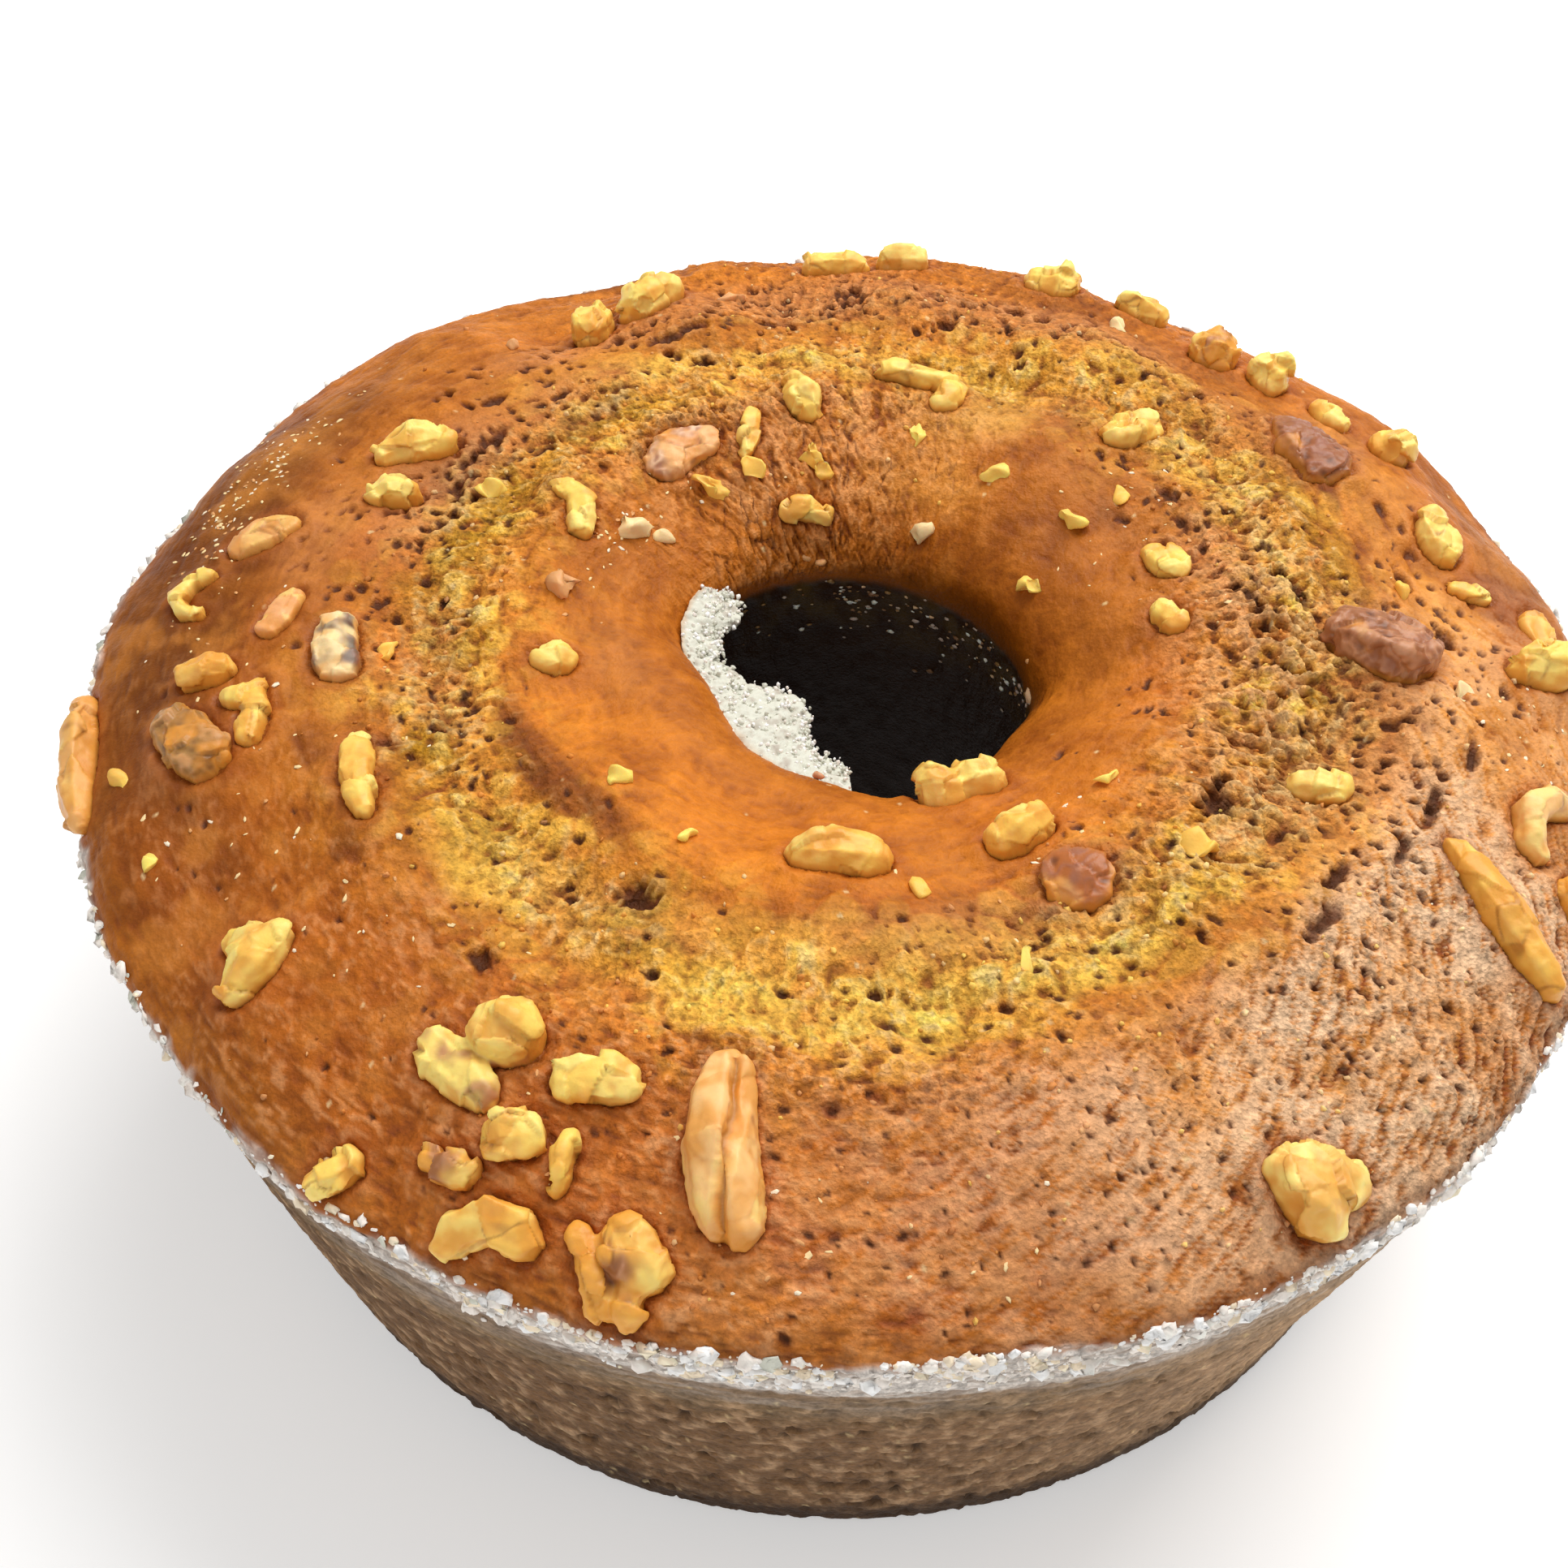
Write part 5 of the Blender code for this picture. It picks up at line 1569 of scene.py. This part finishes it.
@dataclass(frozen=True)
class Bits:
    """Many small lumps: where each is, its three radii, its heading, and its colour."""

    centres: Array
    radii: Array
    headings: Array
    colours: Array
    rough: float
    seed: int
    segments: int = 5
    lumpy: float = 0.3

    def shape(self, normals: Array) -> Shape:
        """The lumps as one mesh: each a ball stretched along its heading, flattened and dented by noise.

        Args:
            normals: the surface's normal under each lump.

        Returns:
            The joined shape.
        """
        points, faces = ball(self.segments)
        level = np.zeros_like(self.headings)
        along = np.stack([np.cos(self.headings), np.sin(self.headings), level], axis=1)
        along -= normals * np.einsum("ij,ij->i", along, normals)[:, None]
        along /= np.linalg.norm(along, axis=1, keepdims=True)
        axes = np.stack([along, np.cross(normals, along), normals], axis=1)
        local = points[None] * self.radii[:, None, :]
        placed = np.einsum("npi,nij->npj", local, axes) + self.centres[:, None, :]
        size = self.radii.mean(axis=1)[:, None, None]
        dents = float(size.mean()) * 1.6
        shift = np.stack([noise(placed, dents, self.seed + axis) for axis in range(3)], axis=-1)
        placed = placed + shift * size * self.lumpy
        count = len(self.centres)
        joined = faces[None] + (np.arange(count) * len(points))[:, None, None]
        hues = np.repeat(self.colours[:, None, :], len(points), axis=1)
        hues = hues * (1 + 0.25 * shift[..., :1])
        rough = np.full(count * len(points), self.rough)
        return Shape(placed.reshape(-1, 3), joined.reshape(-1, 3), hues.reshape(-1, 3), rough)


def tones(rng: np.random.Generator, count: int, *choices: Tone) -> Array:
    """A colour for each of many things, picked from the choices."""
    return np.array([tone.linear for tone in choices])[rng.integers(0, len(choices), count)]


# The small chips that are fused to the solid: bearing, reach, length, and the turn of their long axis
CHIP_ROWS = (
    (11, 95, 4.5, 100), (32, 37, 5.5, 120), (38.5, 59, 4, 50), (40, 49, 5, 110), (60, 48.5, 4.5, 140),
    (62, 103, 4.5, 60), (70.5, 36, 5, 160), (79.5, 53.5, 5.5, 170), (100, 45, 7, 20), (106.5, 97.5, 5, 100),
    (116, 45.5, 5, 40), (125, 45, 7, 30), (132, 102, 4, 130), (144, 41.5, 4, 60), (149, 45.5, 6.5, 70),
    (155.5, 70.5, 6, 60), (175, 49, 6.5, 75), (190.5, 75.5, 5, 100), (200, 117.5, 4, 110), (209, 116, 4, 40),
    (229, 52, 5, 140), (245.5, 54.5, 4, 0), (282.5, 56.5, 4.5, 0), (292, 73.5, 4, 20), (319, 70.5, 6, 45),
    (322, 51.5, 4, 50), (356, 99, 4.5, 80),
)
# The flour ledge's edges at the lip and over the hole: bearing, distance from the axis and height
LEDGE_OUTER = (
    (143, 32.5, 88), (153, 31.6, 88.5), (165, 30, 89), (176, 28.3, 89.5), (198, 26.6, 90), (223, 26.2, 90),
    (244, 27.6, 90), (260, 29, 90), (274, 30.4, 90),
)
LEDGE_INNER = (
    (133, 33, 84), (137, 26.7, 85), (147, 24, 85), (156, 24.5, 85.5), (170, 21.8, 86), (184, 17.6, 85.5),
    (192, 11.6, 85.5), (208, 8.8, 85.5), (234, 9.5, 85.5), (246, 14.6, 86), (258, 17.4, 86),
    (273, 19.3, 86),
)


def along_edge(rows: tuple, share: Array) -> Array:
    """Points at shares of the way along a line through rows of bearing, distance and height."""
    bearing, reach, height = np.array(rows).T
    place = np.stack([reach * np.cos(np.radians(bearing)), reach * np.sin(np.radians(bearing)), height])
    way = np.concatenate([[0], np.cumsum(np.linalg.norm(np.diff(place, axis=1), axis=0))])
    return np.stack([np.interp(share * way[-1], way, axis) for axis in place], axis=-1)


class Scattered:
    """Chips, crumbs, flour and seeds lying on the cake."""

    def __init__(self, cake: Cake) -> None:
        """Keeps the cake that they lie on."""
        self.cake, self.sheet, self.ring = cake, cake.sheet, cake.ring
        self.rng = np.random.default_rng(900)

    def _on_surface(self, bearing: Array, travel: Array, lift: Array | float) -> tuple:
        """Places on the visible surface and the normals there."""
        out = self.sheet.sample(self.cake.out, bearing, travel) + lift
        points = self.ring.surface(travel, bearing, out)
        _, _, across, up = self.ring.on_outline(travel)
        normals = np.stack([across * np.cos(bearing), across * np.sin(bearing), up], axis=1)
        return points, normals

    def chips(self) -> Shape:
        """The small walnut chips, flat-sided and half sunk."""
        rows = np.array(CHIP_ROWS)
        bearing, travel = np.radians(rows[:, 0]), self.ring.travel_at(rows[:, 1])
        half = rows[:, 2] / 2
        radii = np.stack([half, half * 0.6, half * 0.45], axis=1)
        points, normals = self._on_surface(bearing, travel, 0.12 * half)
        heading = bearing + np.radians(rows[:, 3])
        hues = tones(self.rng, len(rows), Tone.FLESH, Tone.FLESH, Tone.FLESH_DEEP, Tone.TAN, Tone.CREAM)
        return Bits(points, radii, heading, hues, 0.5, seed=81, segments=14, lumpy=0.85).shape(normals)

    def crumbs(self) -> Shape:
        """Loose crumbs of crust and nut, thick in the crumbly zones."""
        count = 2600
        bearing = self.rng.uniform(0, 2 * pi, count)
        reach = np.sqrt(self.rng.uniform(38**2, 122**2, count))
        travel = self.ring.travel_at(reach)
        crumbly = self.sheet.sample(self.cake.crumb + 0.4 * self.cake.flaky, bearing, travel)
        kept = crumbly > self.rng.uniform(0.1, 1.3, count)
        bearing, travel = bearing[kept], travel[kept]
        size = self.rng.uniform(0.22, 0.62, kept.sum()) ** 1.2
        radii = size[:, None] * self.rng.uniform(0.6, 1.3, (kept.sum(), 3))
        points, normals = self._on_surface(bearing, travel, 0.1 * size)
        base = self.sheet.sample(self.cake.colours, bearing, travel)
        own = tones(self.rng, kept.sum(), Tone.CREAM, Tone.TAN, Tone.FLESH, Tone.BROWN, Tone.ORANGE)
        hues = 0.45 * base + 0.55 * own
        headings = self.rng.uniform(0, 2 * pi, kept.sum())
        return Bits(points, radii, headings, hues, 0.7, seed=82, lumpy=0.5).shape(normals)

    def flour(self) -> Shape:
        """White clumps of flour on and under the rim, thickest at the front."""
        count = 16000
        bearing = self.rng.uniform(0, 2 * pi, count)
        drop = self.rng.normal(2.2, 2.6, count)
        weight = (
            0.08 + 1.1 * bell(turned(280, bearing), radians(28))
            + 0.3 * bell(turned(322, bearing), radians(26))
            + 0.12 * bell(turned(170, bearing), radians(24))
        )
        travel = self.ring.marks[2] + np.clip(drop, -1, 11)
        heaps = fractal(self.ring.surface(travel, bearing, 0), 7, 87, 2)
        heaped = heaps > self.rng.uniform(-0.35, 0.3, count)
        kept = (self.rng.uniform(0, 1, count) < weight) & heaped
        bearing, travel = bearing[kept], travel[kept]
        size = 0.2 + 1.1 * self.rng.uniform(0, 1, kept.sum()) ** 5
        radii = size[:, None] * self.rng.uniform(0.65, 1.25, (kept.sum(), 3)) * np.array([1.3, 0.95, 0.65])
        points, normals = self._on_surface(bearing, travel, 0.1 * size)
        choices = (Tone.FLOUR, Tone.FLOUR, Tone.FLOUR, Tone.SNOW, Tone.SNOW, Tone.PALE)
        hues = tones(self.rng, kept.sum(), *choices)
        around = self.rng.normal(0, 0.5, kept.sum()) + bearing + pi / 2
        return Bits(points, radii, around, hues, 0.9, seed=83, segments=6, lumpy=0.6).shape(normals)

    def specks(self) -> Shape:
        """Pale grains on the smooth crust, and white ones at the left rim."""
        rng = self.rng
        # Bearing, reach, turn, depth and how many
        spots = (
            (165, 110, 14, 7, 150), (195, 100, 25, 20, 40), (225, 98, 22, 18, 24), (30, 60, 25, 18, 30),
            (150, 45, 25, 6, 40), (310, 60, 25, 12, 20), (350, 108, 14, 10, 40), (268, 112, 30, 10, 24),
        )
        bearing = np.concatenate([rng.normal(b, turn * 0.5, count) for b, _, turn, _, count in spots])
        reach = np.concatenate([rng.normal(r, depth * 0.5, count) for _, r, _, depth, count in spots])
        bearing, travel = np.radians(bearing), self.ring.travel_at(np.clip(reach, 36, 123))
        size = rng.uniform(0.15, 0.5, len(bearing))
        radii = size[:, None] * np.array([1.5, 0.8, 0.3]) * rng.uniform(0.7, 1.3, (len(bearing), 3))
        points, normals = self._on_surface(bearing, travel, 0.02)
        hues = tones(rng, len(bearing), Tone.PALE, Tone.CREAM, Tone.TAN, Tone.CREAM)
        headings = rng.uniform(0, 2 * pi, len(bearing))
        return Bits(points, radii, headings, hues, 0.7, seed=84, lumpy=0.4).shape(normals)

    def seeds(self) -> Shape:
        """The seeds, crumbs and glints that stick in the hole just under its lip."""
        # Bearing, distance from the axis, height and half length
        rows = np.array((
            (105, 33, 86, 1.5), (101, 32.5, 85, 1.2), (98, 33, 83.5, 1.1), (72, 33.5, 86, 1.8),
            (28, 33, 87.5, 1.9), (16, 32.5, 86, 1.7), (38, 32.5, 83, 1.6), (262, 26.5, 91, 1.1),
            (305, 28.6, 90.5, 1.2), (7, 32, 82, 2), (60, 33, 80, 0.9), (85, 33, 79, 0.8),
            (120, 33, 82, 0.9), (45, 33, 78, 0.8), (350, 31, 80, 1),
        ))
        bearing = np.radians(rows[:, 0])
        points = np.stack([rows[:, 1] * np.cos(bearing), rows[:, 1] * np.sin(bearing), rows[:, 2]], axis=1)
        normals = np.stack([-np.cos(bearing), -np.sin(bearing), 0 * bearing + 0.3], axis=1)
        normals /= np.linalg.norm(normals, axis=1, keepdims=True)
        radii = rows[:, 3:] * np.array([1, 0.6, 0.5])
        hues = tones(self.rng, len(rows), Tone.TAN, Tone.CREAM, Tone.SKIN_PALE, Tone.SIDE_TAN)
        return Bits(points, radii, bearing + 1.2, hues, 0.35, seed=85, segments=8).shape(normals)

    def glints(self) -> Shape:
        """Small pale grains in the hole's near-black wall, which stand for glints as painted highlights,
        thickest just under the lip at the back.
        """
        rng, count = self.rng, 190
        bearing = np.radians(np.concatenate([rng.normal(70, 34, count - 40), rng.normal(5, 12, 40)]))
        travel = self.ring.marks[0] - 1 - rng.gamma(2, 3, count)
        size = rng.uniform(0.15, 0.5, count)
        radii = size[:, None] * np.array([1.5, 0.8, 0.6]) * rng.uniform(0.7, 1.3, (count, 3))
        points, normals = self._on_surface(bearing, np.maximum(travel, 30), 0.1)
        hues = tones(rng, count, Tone.DUSTY, Tone.LEDGE, Tone.SIDE_TAN, Tone.SIDE, Tone.SIDE_OLIVE)
        headings = rng.uniform(0, 2 * pi, count)
        return Bits(points, radii, headings, hues, 0.3, seed=88, lumpy=0.5).shape(normals)

    def rim_flakes(self) -> Shape:
        """Thin flakes of dried flour that stand out from the rim, mostly at the left."""
        rng = self.rng
        # Bearing, turn and how many
        spots = (
            (184, 9, 90), (165, 4, 24), (205, 8, 50), (150, 8, 24), (8, 3, 14), (345, 14, 16), (235, 16, 50)
        )
        bearing = np.radians(np.concatenate([rng.normal(*spot) for spot in spots]))
        count = len(bearing)
        travel = self.ring.marks[2] + rng.uniform(-1.8, 3, count)
        size = 0.3 + 0.8 * rng.uniform(0, 1, count) ** 2
        radii = size[:, None] * np.array([1.3, 1.2, 0.35]) * rng.uniform(0.7, 1.3, (count, 3))
        points, normals = self._on_surface(bearing, travel, 0.15 * size)
        stand = rng.normal(0, 0.35, (count, 3)) + np.array([0, 0, 0.7]) + 0.7 * normals
        stand /= np.linalg.norm(stand, axis=1, keepdims=True)
        hues = tones(rng, count, Tone.FLOUR, Tone.FLOUR, Tone.LEDGE, Tone.PALE)
        headings = bearing + rng.normal(0, 0.6, count)
        return Bits(points, radii, headings, hues, 0.8, seed=89, segments=6, lumpy=0.9).shape(stand)

    def ledge(self) -> Shape:
        """The thin, ragged ledge of baked flour that clings under the lip at the left of the hole. Its white
        also stands for light falling on that side of the hole, a painted pool of light beside the tube's
        painted shade.
        """
        rows, columns = 34, 300
        turn, share = np.meshgrid(np.linspace(0, 1, columns), np.linspace(0, 1, rows), indexing="xy")
        outer, inner = along_edge(LEDGE_OUTER, turn), along_edge(LEDGE_INNER, turn)
        middle = outer + (inner - outer) * share[..., None]
        edge = inner * np.array([1.0, 1.0, 0.2])
        ragged = fractal(edge, 3.2, 91, 2) + 0.5 * (0.6 - cells(edge, 1.6, 95).nearest)
        middle[..., :2] += ragged[..., None] * 1.9 * share[..., None] ** 2 * middle[..., :2] / 20
        thick = 0.75 * (1 - 0.75 * share) * ease(0, 0.04, turn) * ease(1, 0.96, turn) + 0.08
        clots = 1 - cells(middle, (1.5, 1.5, 3), 92).nearest ** 2 * 1.8
        bumps = 0.8 * clots + 0.9 * fractal(middle, 2.2, 93, 3)
        top, low = middle.copy(), middle.copy()
        top[..., 2] += thick + bumps * 0.7
        low[..., 2] -= thick + 0.2
        points = np.concatenate([top, low[::-1]]).reshape(-1, 3)
        faces = closed_faces(2 * rows, columns)
        faces = faces[faces[:, 0] % columns != columns - 1]
        row, caps = np.arange(rows), []
        for side in (0, columns - 1):
            above, below = row * columns + side, (2 * rows - 1 - row) * columns + side
            caps.append(np.stack([above[:-1], above[1:], below[1:], below[:-1]], axis=1))
        faces = np.concatenate([faces, caps[0][:, ::-1], caps[1]])
        hollow = np.concatenate([bumps, bumps[::-1]]).ravel()
        hues = flat(Tone.LEDGE, (len(points),))
        hues = paint(hues, Tone.DUSTY, 0.6 * ease(0, 0.5, fractal(points, 2, 94)))
        # The ledge's hollows are darkened as painted shade
        hues = paint(hues, Tone.SLATE, 0.4 * ease(-0.1, -0.9, hollow))
        near_lip = np.concatenate([share, share[::-1]]).ravel()
        hues = paint(hues, Tone.SIDE_TAN, 0.6 * ease(0.16, 0, near_lip + 0.1 * fractal(points, 4, 96)))
        return Shape(points, faces, hues, np.full(len(points), 0.8))

    def ledge_grains(self) -> Shape:
        """Crystal grains on the ledge and along its ragged edge."""
        count = 900
        turn, share = self.rng.uniform(0, 1, count), self.rng.uniform(0.02, 1.04, count) ** 0.8
        outer, inner = along_edge(LEDGE_OUTER, turn), along_edge(LEDGE_INNER, turn)
        points = outer + (inner - outer) * share[:, None]
        points[:, 2] += 0.7
        points += self.rng.normal(0, 0.25, points.shape)
        size = self.rng.uniform(0.15, 0.48, count)
        radii = size[:, None] * self.rng.uniform(0.7, 1.3, (count, 3))
        normals = np.tile([0.0, 0.0, 1.0], (count, 1))
        hues = tones(self.rng, count, Tone.LEDGE, Tone.LEDGE, Tone.FLOUR, Tone.SNOW)
        headings = self.rng.uniform(0, 2 * pi, count)
        return Bits(points, radii, headings, hues, 0.55, seed=86, lumpy=0.5).shape(normals)

    def dress(self, floury: bpy.types.Material, nutty: bpy.types.Material) -> None:
        """Makes every kind of small thing as one joined piece."""
        add_piece("chips", self.chips(), nutty, "walnut_flesh")
        add_piece("crumbs", self.crumbs(), nutty, "crust")
        add_piece("flour", self.flour(), floury, "crust")
        add_piece("pale_grains", self.specks(), floury, "crust")
        add_piece("hole_seeds", self.seeds(), nutty, "walnut_flesh")
        add_piece("hole_glints", self.glints(), nutty, "crust")
        add_piece("rim_flakes", self.rim_flakes(), floury, "crust")
        add_piece("flour_ledge", self.ledge(), floury, "crust")
        add_piece("flour_ledge_grains", self.ledge_grains(), floury, "crust")


# The setting


@dataclass(frozen=True)
class Studio:
    """A pale floor, soft light from above and behind, and the photograph's camera, in metres."""

    place: tuple = (0, -0.236102, 0.318071)
    right: tuple = (0.997596, 0.065972, 0.021199)
    up: tuple = (-0.062964, 0.735265, 0.674849)
    forward: tuple = (-0.028934, 0.674561, -0.737652)
    lens: float = 44.72
    sensor: float = 36
    room_light: float = 0.42

    def build(self) -> None:
        """Adds floor, lights and camera."""
        self._floor()
        self._light("sky", (0.25, 0.45, 0.85), 10, (1, 0.985, 0.96))
        self._light("front", (-0.4, -0.8, 0.75), 2.4, (1, 0.98, 0.95))
        scene = bpy.context.scene
        scene.world = scene.world or bpy.data.worlds.new("room")
        scene.world.use_nodes = True
        background = scene.world.node_tree.nodes["Background"]
        background.inputs["Color"].default_value = (1, 1, 1, 1)
        background.inputs["Strength"].default_value = self.room_light
        scene.view_settings.view_transform = "Standard"
        camera = bpy.data.objects.new("camera", bpy.data.cameras.new("camera"))
        camera.data.lens, camera.data.sensor_width = self.lens, self.sensor
        turn = Matrix((self.right, self.up, tuple(-value for value in self.forward))).transposed()
        camera.matrix_world = Matrix.Translation(self.place) @ turn.to_4x4()
        scene.collection.objects.link(camera)
        scene.camera = camera

    def _floor(self) -> None:
        """A wide, pale floor under the cake."""
        mesh = bpy.data.meshes.new("floor")
        mesh.from_pydata([(-3, -3, 0), (3, -3, 0), (3, 3, 0), (-3, 3, 0)], [], [(0, 1, 2, 3)])
        floor = bpy.data.objects.new("floor", mesh)
        bpy.context.scene.collection.objects.link(floor)
        finish = bpy.data.materials.new("pale_floor")
        finish.use_nodes = True
        shader = finish.node_tree.nodes["Principled BSDF"]
        shader.inputs["Base Color"].default_value = (0.93, 0.93, 0.93, 1)
        shader.inputs["Roughness"].default_value = 0.9
        shader.inputs["Emission Color"].default_value = (1, 1, 1, 1)
        shader.inputs["Emission Strength"].default_value = 0.3
        mesh.materials.append(finish)

    @staticmethod
    def _light(name: str, place: tuple, power: float, colour: tuple) -> None:
        """Adds a wide square light that faces the cake.

        Args:
            name: the light's name.
            place: where it is.
            power: its power in watts.
            colour: its colour.
        """
        lamp = bpy.data.lights.new(name, "AREA")
        lamp.size, lamp.energy, lamp.color = 0.8, power, colour
        made = bpy.data.objects.new(name, lamp)
        made.location = place
        made.rotation_euler = (-made.location).to_track_quat("-Z", "Y").to_euler()
        bpy.context.scene.collection.objects.link(made)


def main() -> None:
    """Builds the cake in its setting."""
    logging.basicConfig(level=logging.INFO, format="%(message)s")
    ring, grain = Ring(), Grain()
    crust = Finish("crust", grain=0.8, contrast=0.6, relief=0.36, specular=0.14).build(grain)
    # The tube's finish; the tube's near black colour is painted shade
    tube_finish = Finish("tube_painted_shade", grain=0.6, contrast=0.4, relief=0.4, specular=0.14).build(grain)
    nutty = Finish("walnut", grain=0.7, contrast=0.12, relief=0.12, specular=0.35, soft=0.3).build(grain)
    floury = Finish("flour", grain=0.4, contrast=0.1, relief=0.25, specular=0.2).build(grain)
    nuts = refine_nuts(frame, ring)
    cake = Cake(ring, nuts)
    cake.build()
    cake.dress(crust, tube_finish)
    for nut in nuts:
        add_piece(nut.name + "_piece", nut.dress(), nutty, nut.slot, nut.name)
    Scattered(cake).dress(floury, nutty)
    Studio().build()


if __name__ == "__main__":
    main()
